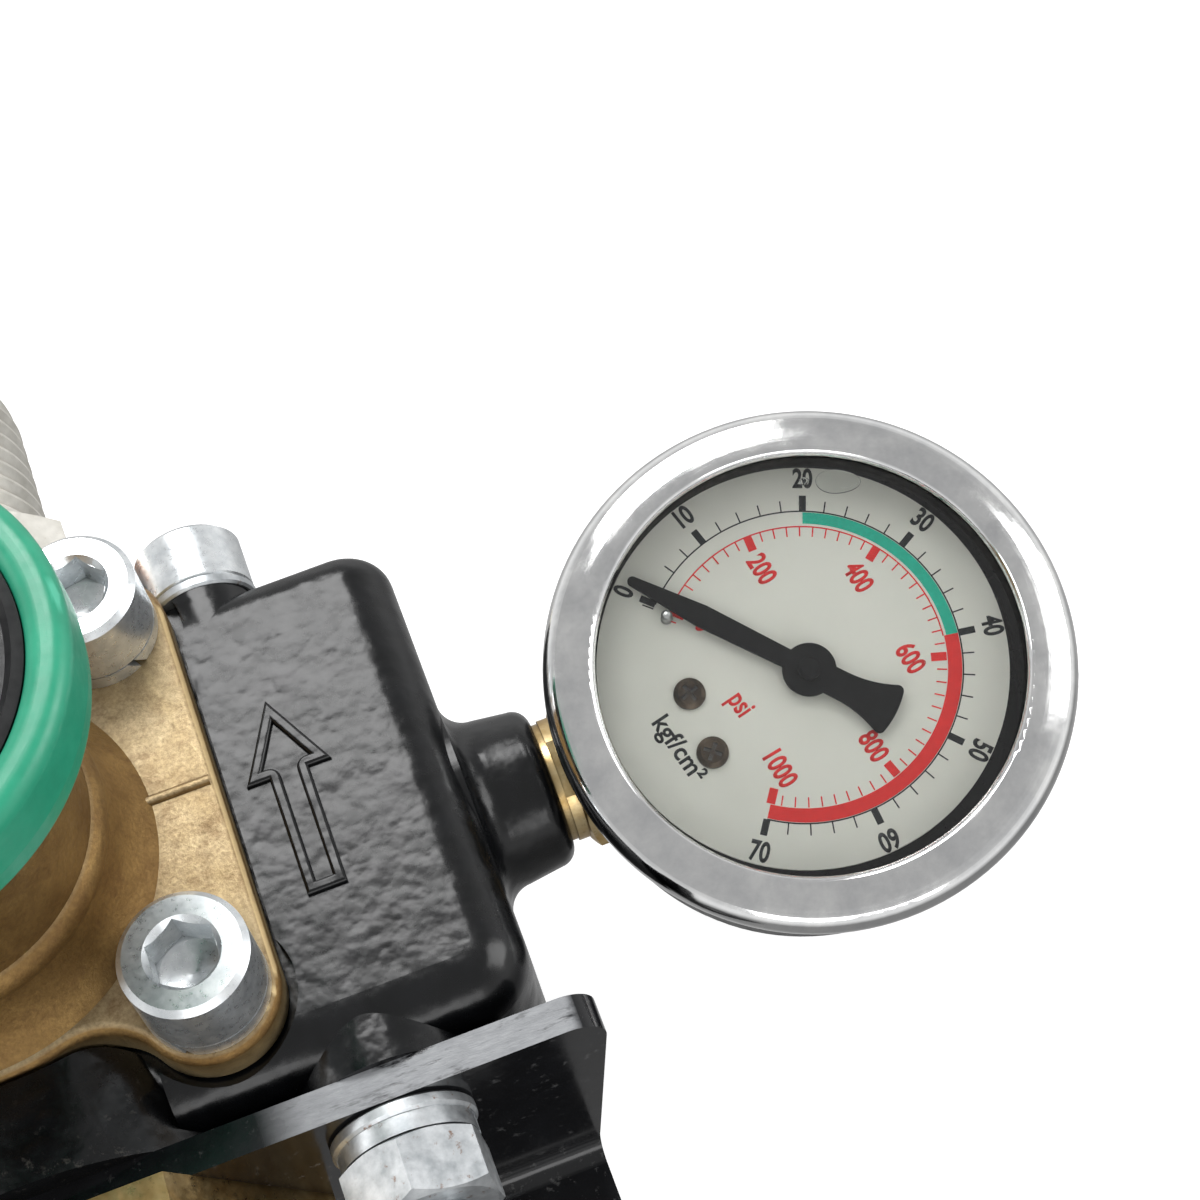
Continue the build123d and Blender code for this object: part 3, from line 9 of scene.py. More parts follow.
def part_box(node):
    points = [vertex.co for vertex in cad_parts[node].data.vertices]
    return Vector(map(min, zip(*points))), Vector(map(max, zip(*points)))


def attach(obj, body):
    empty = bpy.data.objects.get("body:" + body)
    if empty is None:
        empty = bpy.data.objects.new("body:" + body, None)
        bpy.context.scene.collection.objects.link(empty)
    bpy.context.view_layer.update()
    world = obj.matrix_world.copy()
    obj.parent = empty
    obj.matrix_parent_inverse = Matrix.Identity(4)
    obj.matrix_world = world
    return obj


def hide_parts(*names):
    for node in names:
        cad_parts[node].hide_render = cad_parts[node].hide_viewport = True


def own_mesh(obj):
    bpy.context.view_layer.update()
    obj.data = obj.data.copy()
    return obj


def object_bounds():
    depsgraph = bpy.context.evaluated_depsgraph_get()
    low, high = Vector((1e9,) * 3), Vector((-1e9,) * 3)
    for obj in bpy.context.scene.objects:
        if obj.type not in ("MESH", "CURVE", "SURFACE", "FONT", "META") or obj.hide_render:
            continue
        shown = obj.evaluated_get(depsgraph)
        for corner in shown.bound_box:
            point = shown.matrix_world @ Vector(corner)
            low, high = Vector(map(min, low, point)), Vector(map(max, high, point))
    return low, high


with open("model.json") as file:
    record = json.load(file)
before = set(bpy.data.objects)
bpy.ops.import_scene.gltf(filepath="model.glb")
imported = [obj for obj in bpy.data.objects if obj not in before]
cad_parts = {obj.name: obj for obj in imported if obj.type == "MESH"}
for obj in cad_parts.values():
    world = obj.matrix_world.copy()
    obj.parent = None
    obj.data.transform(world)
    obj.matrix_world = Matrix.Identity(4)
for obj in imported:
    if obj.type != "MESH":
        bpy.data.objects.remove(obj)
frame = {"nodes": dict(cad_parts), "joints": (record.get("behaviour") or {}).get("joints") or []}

CAD_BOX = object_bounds()
NODES = frame["nodes"]
SCENE = bpy.context.scene
MM = 0.001
SHARP_ANGLE = 32            # degrees above which an edge of a CAD node stays sharp

# camera and floor
CAMERA_PLACE = (0.06167, -0.172085, 0.362889)
CAMERA_AZIMUTH, CAMERA_ELEVATION, CAMERA_ROLL = -8.53, 59.69, -12.87
SENSOR_WIDTH, FOCAL_LENGTH = 36.0, 84.0
FLOOR_HALF = 2.5
FLOOR_GAP = 0.3 * MM        # from the floor up to the valve's lowest point

# dial printing, in millimetres and in degrees from +X on the dial
SCALE_ZERO = 145.6          # where the scale's steps start
SCALE_ZERO_MARK = 136.1     # the printed zero sits at the stop
SCALE_STEP = 3.857          # degrees for each kgf/cm2
PSI_IN_KG = 0.0703
SCALE_R = 20.4
BAND_IN, BAND_OUT = 18.75, 20.25
PSI_R = 18.35
LINE_HALF = 0.09            # half the width of a scale's base line
FINE_TICK = 0.18
ARC_STEP = 2.0              # degrees between the points of a printed arc
DIAL_UP = -79.4             # reading direction of the dial's words
UNIT_LEAN = 3.0             # the unit names lean a little more
INK_T = 0.03
PRINT_U, PRINT_V = -0.4, 1.06    # the printing sits a little off the dial's centre
PRINT_GROW = 1.012

# air bubbles under the window
BUBBLE_DEPTH = 0.9
BUBBLE_GAP = 0.05


# ---------------------------------------------------------------- material building blocks
class Graph:
    """A Principled material whose sockets are fed by named procedural layers."""

    def __init__(self, name, **constants):
        self.material = bpy.data.materials.new(name)
        self.material.use_nodes = True
        self.tree = self.material.node_tree
        self.shader = self.tree.nodes["Principled BSDF"]
        for socket, value in constants.items():
            self.shader.inputs[socket.replace("_", " ")].default_value = value
        coordinates = self.tree.nodes.new("ShaderNodeTexCoord")
        self.place = coordinates.outputs["Object"]
        self.geometry = self.tree.nodes.new("ShaderNodeNewGeometry")
        self.bump_height = None

    def node(self, kind, **inputs):
        made = self.tree.nodes.new(kind)
        for socket, value in inputs.items():
            self.feed(made.inputs[socket.replace("_", " ")], value)
        return made

    def feed(self, socket, value):
        if isinstance(value, bpy.types.NodeSocket):
            self.tree.links.new(value, socket)
        else:
            socket.default_value = value

    def stretched(self, scale):
        made = self.node("ShaderNodeMapping", Vector=self.place)
        made.inputs["Scale"].default_value = scale
        return made.outputs["Vector"]

    def noise(self, size_mm, detail=4.0, rough=0.55, stretch=None, distort=0.0):
        where = self.place if stretch is None else self.stretched(stretch)
        made = self.node("ShaderNodeTexNoise", Vector=where, Scale=1.0 / (size_mm * MM),
                         Detail=detail, Roughness=rough, Distortion=distort)
        return made.outputs["Fac"]

    def rings(self, centre, axis, pitch_mm, distort=0.4):
        """Fine turning marks: rings around an axis through a point of the row frame."""
        shift = self.node("ShaderNodeMapping", Vector=self.place)
        turn = Vector(axis).rotation_difference(Vector((0, 0, 1))).to_euler()
        shift.inputs["Rotation"].default_value = turn
        shift.inputs["Location"].default_value = -(turn.to_matrix() @ Vector(centre))
        made = self.tree.nodes.new("ShaderNodeTexWave")
        made.wave_type = "RINGS"
        made.rings_direction = "Z"
        self.feed(made.inputs["Vector"], shift.outputs["Vector"])
        made.inputs["Scale"].default_value = 0.05 / (pitch_mm * MM)
        made.inputs["Distortion"].default_value = distort
        made.inputs["Detail"].default_value = 3.0
        return made.outputs["Fac"]

    def ramp(self, value, low, high, start=0.0, end=1.0):
        made = self.node("ShaderNodeMapRange", Value=value)
        made.clamp = True
        for socket, number in zip(("From Min", "From Max", "To Min", "To Max"), (low, high, start, end)):
            made.inputs[socket].default_value = number
        return made.outputs["Result"]

    def math(self, operation, first, second=0.0):
        made = self.tree.nodes.new("ShaderNodeMath")
        made.operation = operation
        self.feed(made.inputs[0], first)
        self.feed(made.inputs[1], second)
        return made.outputs["Value"]

    def mix(self, share, first, second, blend="MIX"):
        made = self.tree.nodes.new("ShaderNodeMix")
        made.data_type = "RGBA"
        made.blend_type = blend
        self.feed(made.inputs["Factor"], share)
        self.feed(made.inputs["A"], colour(first))
        self.feed(made.inputs["B"], colour(second))
        return made.outputs["Result"]

    def edges(self, low, high):
        """One on convex edges, where a finish wears first."""
        return self.ramp(self.geometry.outputs["Pointiness"], low, high)

    def hollows(self, reach_mm, low=0.35, high=0.9):
        """One in corners and recesses, where shade falls: the mask for painted shade."""
        made = self.tree.nodes.new("ShaderNodeAmbientOcclusion")
        made.samples = 6
        made.inputs["Distance"].default_value = reach_mm * MM
        return self.ramp(made.outputs["AO"], low, high, 1.0, 0.0)

    def place_along(self, axis):
        return self.node("ShaderNodeSeparateXYZ", Vector=self.place).outputs[axis]

    def facing_up(self, low, high, start=0.0, end=1.0):
        """Rises with the surface's upward tilt, between two heights of its normal."""
        split = self.node("ShaderNodeSeparateXYZ", Vector=self.geometry.outputs["Normal"])
        return self.ramp(split.outputs["Z"], low, high, start, end)

    def bump(self, height, depth_mm):
        """Add one layer of relief on top of the layers before it."""
        made = self.node("ShaderNodeBump", Height=height)
        made.inputs["Strength"].default_value = 1.0
        made.inputs["Distance"].default_value = depth_mm * MM
        if self.bump_height is not None:
            self.tree.links.new(self.bump_height, made.inputs["Normal"])
        self.bump_height = made.outputs["Normal"]

    def finish(self, base, roughness, metallic=None):
        self.feed(self.shader.inputs["Base Color"], colour(base))
        self.feed(self.shader.inputs["Roughness"], roughness)
        if metallic is not None:
            self.feed(self.shader.inputs["Metallic"], metallic)
        if self.bump_height is not None:
            self.tree.links.new(self.bump_height, self.shader.inputs["Normal"])
        return self.material


def colour(value):
    """A socket as it is, or a hex colour as linear RGBA."""
    if not isinstance(value, str):
        return value
    channels = [int(value[i:i + 2], 16) / 255 for i in (1, 3, 5)]
    return [c / 12.92 if c <= 0.04045 else ((c + 0.055) / 1.055) ** 2.4 for c in channels] + [1.0]


# ---------------------------------------------------------------- materials
def black_paint():
    """Gloss black paint that has run over a sand casting: lumpy on top, smooth elsewhere."""
    g = Graph("black_paint", Coat_Weight=0.1, Coat_Roughness=0.15, Specular_IOR_Level=0.36)
    lumps = g.noise(3.2, 1.0, 0.35)
    grit = g.noise(1.5, 1.0, 0.35)
    upward = g.facing_up(0.55, 0.95)
    g.bump(lumps, 0.20)
    g.bump(g.math("MULTIPLY", grit, upward), 0.08)
    g.bump(g.noise(0.7, 2.0, 0.5), 0.010)
    dust = g.math("MULTIPLY", g.ramp(g.noise(0.5, 6.0, 0.8), 0.64, 0.76), 0.25)
    base = g.mix(g.ramp(lumps, 0.35, 0.7), "#070809", "#0E0F11")
    base = g.mix(dust, base, "#3A3B3D")
    worn = g.math("MULTIPLY", g.edges(0.57, 0.68), g.ramp(g.noise(2.2, 5.0, 0.7), 0.58, 0.68))
    base = g.mix(worn, base, "#4C4A46")
    rough = g.ramp(g.noise(3.0, 5.0, 0.6), 0.3, 0.75, 0.19, 0.33)
    return g.finish(base, g.math("ADD", rough, g.math("MULTIPLY", dust, 0.5)))


def bracket_paint():
    """Gloss black on plate; the sheared top edge is scuffed to grey towards the right."""
    g = Graph("bracket_paint", Coat_Weight=0.2, Coat_Roughness=0.10, Specular_IOR_Level=0.4)
    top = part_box("bracket")[1].z
    level = g.ramp(g.place_along("Z"), top - 0.5 * MM, top - 0.1 * MM)
    upward = g.facing_up(0.6, 0.9)
    along = g.ramp(g.place_along("X"), 27 * MM, 33 * MM)
    ragged = g.ramp(g.noise(2.5, 5.0, 0.65, (0.25, 1, 1)), 0.34, 0.46)
    scuff = g.math("MULTIPLY", g.math("MULTIPLY", level, upward), g.math("MULTIPLY", along, ragged))
    shear = g.mix(g.noise(0.9, 5.0, 0.7, (0.3, 1, 1)), "#66686B", "#A9ABAE")
    flaw = g.math("MULTIPLY", g.edges(0.57, 0.66), g.ramp(g.noise(1.6, 5.0, 0.7), 0.60, 0.70))
    base = g.mix(g.ramp(g.noise(6.0, 3.0), 0.3, 0.7), "#08080A", "#121316")
    base = g.mix(flaw, base, "#5A5A5A")
    base = g.mix(scuff, base, shear)
    g.bump(g.noise(7.0, 2.0, 0.4), 0.06)
    g.bump(g.noise(0.8, 2.0, 0.5), 0.008)
    g.bump(g.math("MULTIPLY", scuff, g.noise(0.6, 4.0, 0.7, (0.2, 1, 1))), 0.08)
    rough = g.ramp(g.noise(2.6, 5.0, 0.6), 0.3, 0.75, 0.10, 0.24)
    return g.finish(base, g.math("ADD", rough, g.math("MULTIPLY", scuff, 0.25)))


def cast_bronze():
    """Fine sand-cast bronze: satin, grainy, cleaner on edges; paler on top as painted light and darker in
    its recesses as painted shade.
    """
    g = Graph("cast_bronze", Metallic=0.75, Specular_IOR_Level=0.5)
    grain = g.noise(0.55, 6.0, 0.72)
    patch = g.noise(9.0, 4.0, 0.6, distort=0.5)
    smear = g.noise(3.2, 5.0, 0.65)
    upward = g.facing_up(0.75, 0.98, 0.0, 0.75)
    base = g.mix(g.ramp(patch, 0.3, 0.72), "#775A32", "#A1824F")
    # painted light: upward faces get paler copies of the bronze colours, as if lit from above
    base = g.mix(upward, base, g.mix(g.ramp(patch, 0.3, 0.72), "#C6AF85", "#E3D1AC"))
    base = g.mix(g.ramp(smear, 0.52, 0.70, 0.0, 0.55), base, "#6E5030")
    base = g.mix(g.ramp(grain, 0.35, 0.60, 0.40, 0.0), base, "#543C22")
    # painted shade: recesses darkened to deep brown
    base = g.mix(g.hollows(5.0, 0.30, 0.95), base, "#3A2A18")
    base = g.mix(g.math("MULTIPLY", g.edges(0.53, 0.62), 0.6), base, "#E3CB9A")
    g.bump(grain, 0.10)
    g.bump(g.noise(2.4, 4.0, 0.6), 0.10)
    return g.finish(base, g.ramp(g.noise(1.4, 5.0, 0.7), 0.3, 0.7, 0.36, 0.56))


def turned_metal(name, centre, axis, light, dark, rough=0.26, ring_mm=0.28, tarnish="#5F4A2B"):
    """Machined metal with turning marks about its own axis and a little tarnish."""
    g = Graph(name, Metallic=1.0)
    marks = g.rings(centre, axis, ring_mm)
    base = g.mix(g.ramp(g.noise(3.5, 4.0, 0.6), 0.3, 0.7), dark, light)
    base = g.mix(g.ramp(marks, 0.2, 0.9, 0.18, 0.0), base, tarnish)
    # partly tarnish, partly painted shade: recesses darkened towards the tarnish colour
    base = g.mix(g.hollows(1.6, 0.3, 0.85), base, tarnish)
    base = g.mix(g.ramp(g.noise(0.8, 6.0, 0.75), 0.60, 0.72, 0.0, 0.5), base, tarnish)
    g.bump(marks, 0.012)
    g.bump(g.noise(0.6, 4.0, 0.6), 0.01)
    return g.finish(base, g.ramp(g.noise(1.2, 5.0, 0.7), 0.3, 0.7, rough - 0.06, rough + 0.12))


def zinc_plate(name="zinc_plate", light="#EEF1F2", dark="#C6CBCE", rust=0.0, rough=0.24):
    """Bright zinc plating: faintly blue, scuffed, sometimes with a speck of rust."""
    g = Graph(name, Metallic=0.85, Specular_IOR_Level=0.6)
    base = g.mix(g.ramp(g.noise(2.6, 5.0, 0.6), 0.3, 0.7), dark, light)
    base = g.mix(g.ramp(g.noise(0.7, 6.0, 0.7), 0.54, 0.70, 0.0, 0.10), base, "#8A9197")
    # painted shade: recesses darkened to grey
    base = g.mix(g.hollows(1.0, 0.10, 0.60), base, "#7E8184")
    if rust:
        spots = g.math("MULTIPLY", g.ramp(g.noise(1.7, 6.0, 0.7), 0.60, 0.68), rust)
        base = g.mix(spots, base, "#7A5233")
    g.bump(g.noise(0.6, 3.0, 0.5), 0.005)
    g.bump(g.noise(1.8, 2.0, 0.5, (1, 1, 0.15)), 0.010)
    return g.finish(base, g.ramp(g.noise(0.9, 4.0, 0.6), 0.3, 0.7, rough, rough + 0.14))


def satin_nickel():
    g = Graph("satin_nickel", Metallic=0.9)
    base = g.mix(g.ramp(g.noise(4.0, 4.0, 0.6), 0.3, 0.7), "#DFDCD2", "#F7F4EC")
    # painted shade: recesses darkened to brownish grey
    base = g.mix(g.hollows(1.0, 0.2, 0.8), base, "#9A8E78")
    base = g.mix(g.ramp(g.noise(0.8, 6.0, 0.75), 0.62, 0.74, 0.0, 0.4), base, "#A08660")
    g.bump(g.noise(0.5, 5.0, 0.7), 0.015)
    return g.finish(base, g.ramp(g.noise(1.0, 5.0, 0.7), 0.3, 0.7, 0.34, 0.52))


def green_plastic():
    """Moulded grip: slightly soft sheen, faint flow marks and rubbed edges."""
    g = Graph("green_plastic", Coat_Weight=0.15, Coat_Roughness=0.25, Specular_IOR_Level=0.5)
    base = g.mix(g.ramp(g.noise(8.0, 4.0, 0.6), 0.3, 0.7), "#1A8767", "#259A77")
    base = g.mix(g.math("MULTIPLY", g.edges(0.52, 0.60), 0.55), base, "#5FC4A5")
    base = g.mix(g.ramp(g.noise(0.6, 6.0, 0.8), 0.64, 0.74, 0.0, 0.4), base, "#12654D")
    g.bump(g.noise(0.5, 3.0, 0.6), 0.012)
    g.bump(g.noise(5.0, 2.0, 0.4), 0.05)
    return g.finish(base, g.ramp(g.noise(1.6, 5.0, 0.6), 0.3, 0.7, 0.30, 0.46))


def dark_plastic(name="black_plastic", low="#0B0B0C", high="#1A1A1C", rough=0.36, gloss=0.5):
    g = Graph(name, Specular_IOR_Level=gloss)
    base = g.mix(g.noise(4.0, 4.0, 0.6), low, high)
    base = g.mix(g.ramp(g.noise(0.5, 6.0, 0.8), 0.64, 0.74, 0.0, 0.5), base, "#3C3C3E")
    g.bump(g.noise(0.4, 3.0, 0.6), 0.015)
    return g.finish(base, g.ramp(g.noise(1.2, 5.0, 0.6), 0.3, 0.7, rough - 0.06, rough + 0.12))


def polished_bezel(centre, axis):
    """Pressed stainless ring: mirror-like with hairline scratches round it and some haze."""
    g = Graph("polished_bezel", Metallic=1.0)
    hair = g.rings(centre, axis, 0.10, 0.8)
    haze = g.noise(6.0, 5.0, 0.65)
    nicks = g.ramp(g.noise(0.35, 6.0, 0.8), 0.66, 0.72)
    base = g.mix(g.ramp(haze, 0.3, 0.7), "#D3D4D5", "#EDEDEC")
    base = g.mix(g.math("MULTIPLY", nicks, 0.4), base, "#8A8C8E")
    g.bump(hair, 0.002)
    g.bump(g.noise(9.0, 2.0, 0.4), 0.05)
    g.bump(g.noise(1.1, 4.0, 0.6), 0.006)
    rough = g.ramp(haze, 0.35, 0.75, 0.07, 0.20)
    return g.finish(base, g.math("ADD", rough, g.math("MULTIPLY", nicks, 0.2)))


def rubber():
    g = Graph("rubber", Specular_IOR_Level=0.35)
    base = g.mix(g.noise(1.5, 5.0, 0.6), "#101010", "#1E1D1C")
    g.bump(g.noise(0.4, 4.0, 0.6), 0.03)
    return g.finish(base, g.ramp(g.noise(1.2, 4.0), 0.3, 0.7, 0.5, 0.72))


def fibre():
    g = Graph("fibre", Specular_IOR_Level=0.2)
    base = g.mix(g.noise(0.7, 6.0, 0.75, (1, 1, 4)), "#33382F", "#5A6054")
    g.bump(g.noise(0.4, 5.0, 0.7), 0.05)
    return g.finish(base, g.ramp(g.noise(1.0, 4.0), 0.3, 0.7, 0.75, 0.95))


def spring_steel():
    g = Graph("spring_steel", Metallic=1.0)
    base = g.mix(g.noise(1.6, 5.0, 0.65), "#47484B", "#77787A")
    g.bump(g.noise(0.3, 4.0, 0.7), 0.01)
    return g.finish(base, g.ramp(g.noise(0.9, 4.0), 0.3, 0.7, 0.28, 0.46))


def clear_lens():
    """Acrylic window with faint scratches and haze."""
    g = Graph("clear_lens", Transmission_Weight=1.0, IOR=1.40)
    scratches = g.ramp(g.noise(0.5, 6.0, 0.85, (1, 0.12, 0.12), 1.5), 0.64, 0.70, 0.0, 1.0)
    base = g.mix(g.noise(12.0, 3.0), "#FAFCFB", "#FFFFFF")
    g.bump(scratches, 0.003)
    return g.finish(base, g.math("MULTIPLY", scratches, 0.22))


def air():
    """The skin of a bubble: clear in the middle, a bright and dark line round its edge."""
    g = Graph("bubble_air", Transmission_Weight=1.0, IOR=1.25)
    base = g.mix(g.noise(3.0, 2.0), "#F4F6F5", "#FFFFFF")
    return g.finish(base, g.ramp(g.noise(0.8, 3.0), 0.3, 0.7, 0.0, 0.05))


def dial_white():
    """Printed dial: warm pale grey with a slight stain and fine speckle in patches."""
    g = Graph("dial_white", Specular_IOR_Level=0.3)
    stain = g.ramp(g.noise(11.0, 5.0, 0.6), 0.45, 0.75, 0.0, 0.35)
    base = g.mix(stain, "#EAEADF", "#D6D5C9")
    specks = g.ramp(g.noise(0.28, 3.0, 0.7), 0.72, 0.76)
    patches = g.ramp(g.noise(14.0, 2.0), 0.50, 0.62)
    base = g.mix(g.math("MULTIPLY", g.math("MULTIPLY", specks, patches), 0.8), base, "#55544F")
    return g.finish(base, g.ramp(g.noise(2.0, 3.0), 0.3, 0.7, 0.40, 0.55))


def ink(name, light, dark):
    """Printed ink, a little uneven in colour and gloss."""
    g = Graph(name, Specular_IOR_Level=0.3)
    base = g.mix(g.ramp(g.noise(0.8, 6.0, 0.75), 0.45, 0.7), dark, light)
    return g.finish(base, g.ramp(g.noise(1.0, 4.0), 0.3, 0.7, 0.38, 0.55))


def copper():
    g = Graph("copper", Metallic=1.0)
    base = g.mix(g.noise(1.8, 5.0, 0.65), "#8C5634", "#C7845A")
    # painted shade: recesses darkened to deep brown
    base = g.mix(g.hollows(1.0), base, "#4E3422")
    g.bump(g.noise(0.5, 4.0, 0.6), 0.015)
    return g.finish(base, g.ramp(g.noise(0.9, 4.0), 0.3, 0.7, 0.28, 0.46))


# ---------------------------------------------------------------- the gauge's own frame
def joint(name):
    return next(j for j in frame["joints"] if j["name"] == name)


GAUGE_AXIS = Vector(joint("pointer_turn")["axis"]).normalized()
GAUGE_CENTRE = Vector(joint("pointer_turn")["pos_m"])
GAUGE_U = Vector((1, 0, 0))
GAUGE_V = GAUGE_AXIS.cross(GAUGE_U)


def level(node, pick):
    """Height of a node above the gauge centre, along the gauge's axis."""
    return pick((v.co - GAUGE_CENTRE).dot(GAUGE_AXIS) for v in NODES[node].data.vertices)


def gauge_matrix(height, turn=0.0, u=0.0, v=0.0):
    """Frame on the dial: millimetres across it, metres above the centre, degrees of turn."""
    basis = Matrix((GAUGE_U, GAUGE_V, GAUGE_AXIS)).transposed().to_4x4()
    basis.translation = GAUGE_CENTRE + GAUGE_U * u * MM + GAUGE_V * v * MM + GAUGE_AXIS * height
    return basis @ Matrix.Rotation(math.radians(turn), 4, "Z")


def shade_smooth(mesh):
    mesh.polygons.foreach_set("use_smooth", [True] * len(mesh.polygons))


def shade_by_angle(mesh):
    """Smooth shading with sharp edges kept, for a machined or moulded piece."""
    shade_smooth(mesh)
    mesh.set_sharp_from_angle(angle=math.radians(SHARP_ANGLE))


def new_object(name, mesh, material, body):
    made = bpy.data.objects.new(name, mesh)
    SCENE.collection.objects.link(made)
    mesh.materials.clear()
    mesh.materials.append(material)
    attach(made, body)
    return made


# ---------------------------------------------------------------- dial printing
class Printing:
    """Flat printed shapes of one colour, gathered in one mesh on the dial."""

    def __init__(self):
        self.mesh = bmesh.new()

    def ring(self, inner, outer, first, last):
        count = max(1, math.ceil(abs(first - last) / ARC_STEP))
        rows = []
        for k in range(count + 1):
            angle = math.radians(first + (last - first) * k / count)
            way = Vector((math.cos(angle), math.sin(angle), 0))
            rows.append([self.mesh.verts.new(way * radius) for radius in (inner, outer)])
        for (a, b), (c, d) in zip(rows, rows[1:]):
            self.mesh.faces.new((a, b, d, c))

    def tick(self, inner, outer, angle, width):
        way = Vector((math.cos(math.radians(angle)), math.sin(math.radians(angle)), 0))
        side = Vector((-way.y, way.x, 0)) * width / 2
        corners = (way * inner - side, way * outer - side, way * outer + side, way * inner + side)
        self.mesh.faces.new([self.mesh.verts.new(c) for c in corners])

    def words(self, text, size, u, v, reading, narrow=0.72, bold=0.02):
        """Text centred on a point, reading in a given direction."""
        data = bpy.data.curves.new("words", "FONT")
        data.body = text
        data.size = size
        data.align_x = "CENTER"
        data.align_y = "CENTER"
        data.offset = bold * size
        data.resolution_u = 4
        carrier = bpy.data.objects.new("words", data)
        shape = bpy.data.meshes.new_from_object(carrier)
        place = Matrix.Translation((u, v, 0)) @ Matrix.Rotation(math.radians(reading), 4, "Z")
        shape.transform(place @ Matrix.Diagonal((narrow, 1, 1, 1)))
        self.mesh.from_mesh(shape)
        bpy.data.objects.remove(carrier)
        bpy.data.meshes.remove(shape)
        bpy.data.curves.remove(data)

    def lay(self, name, material):
        """Thicken the printing by a hair and put it on the dial."""
        made = bmesh.ops.extrude_face_region(self.mesh, geom=list(self.mesh.faces))
        lifted = [e for e in made["geom"] if isinstance(e, bmesh.types.BMVert)]
        bmesh.ops.translate(self.mesh, verts=lifted, vec=(0, 0, INK_T))
        bmesh.ops.recalc_face_normals(self.mesh, faces=list(self.mesh.faces))
        data = bpy.data.meshes.new(name)
        self.mesh.to_mesh(data)
        self.mesh.free()
        place = gauge_matrix(level("gauge_dial", max), u=PRINT_U, v=PRINT_V)
        data.transform(place @ Matrix.Scale(MM * PRINT_GROW, 4))
        return new_object(name, data, material, "valve")


def pressure_angle(value):
    return SCALE_ZERO_MARK if value == 0 else SCALE_ZERO - SCALE_STEP * value


def polar(radius, angle):
    return radius * math.cos(math.radians(angle)), radius * math.sin(math.radians(angle))


def air_bubble(name, u, v, width, height, turn):
    """Flattened bubble of air that floats in the gauge's liquid against the window."""
    shape = bmesh.new()
    bmesh.ops.create_uvsphere(shape, u_segments=48, v_segments=24, radius=1.0)
    for vertex in shape.verts:
        angle = math.atan2(vertex.co.y, vertex.co.x)
        swell = 1.0 + 0.06 * math.cos(2 * angle + 0.7) + 0.04 * math.cos(3 * angle)
        vertex.co = Vector((vertex.co.x * width / 2 * swell, vertex.co.y * height / 2 * swell,
                            vertex.co.z * BUBBLE_DEPTH / 2))
    data = bpy.data.meshes.new(name)
    shape.to_mesh(data)
    shape.free()
    shade_smooth(data)
    below_window = level("gauge_lens", min) - (BUBBLE_DEPTH / 2 + BUBBLE_GAP) * MM
    data.transform(gauge_matrix(below_window, turn, u, v) @ Matrix.Scale(MM, 4))
    return new_object(name, data, air(), "valve")


def print_dial():
    """Two scales: kgf/cm2 outside in black, with a green and a red band, and psi inside in red."""
    black, green, red = Printing(), Printing(), Printing()
    last = pressure_angle(70)
    black.ring(SCALE_R - LINE_HALF, SCALE_R + LINE_HALF, SCALE_ZERO_MARK, last)
    for value in range(0, 71, 2):
        angle = pressure_angle(value)
        major = value % 10 == 0
        black.tick(SCALE_R, SCALE_R + (2.1 if major else 1.5), angle, 0.9 if major else FINE_TICK)
        if major:
            u, v = polar(SCALE_R + 4.3, angle)
            reading = angle + 90 if value == 70 else angle - 90
            black.words(str(value), 3.6, u, v, reading, bold=0.03)
    black.words("kgf/cm²", 3.4, -18.6, -4.5, DIAL_UP + UNIT_LEAN, narrow=0.95)
    green.ring(BAND_IN, BAND_OUT, pressure_angle(20), pressure_angle(40))
    red.ring(BAND_IN - 0.3, BAND_OUT, pressure_angle(40), last)
    red.ring(PSI_R - LINE_HALF, PSI_R + LINE_HALF, SCALE_ZERO_MARK, pressure_angle(40))
    for psi in range(0, 1001, 20):
        angle = SCALE_ZERO_MARK if psi == 0 else max(last, pressure_angle(psi * PSI_IN_KG))
        major = psi % 200 == 0
        red.tick(PSI_R - (2.0 if major else 1.3), PSI_R, angle, 1.1 if major else FINE_TICK)
        if major:
            u, v = polar(PSI_R - 4.7, angle)
            red.words(str(psi), 3.6, u, v, DIAL_UP, bold=0.03)
    red.words("psi", 3.8, -9.2, -1.9, DIAL_UP + UNIT_LEAN)
    black.lay("dial_black_print", ink("ink_black", "#2A2D2F", "#15181A"))
    green.lay("dial_green_band", ink("ink_green", "#1FC9AC", "#16B898"))
    red.lay("dial_red_print", ink("ink_red", "#F8322E", "#E62A28"))


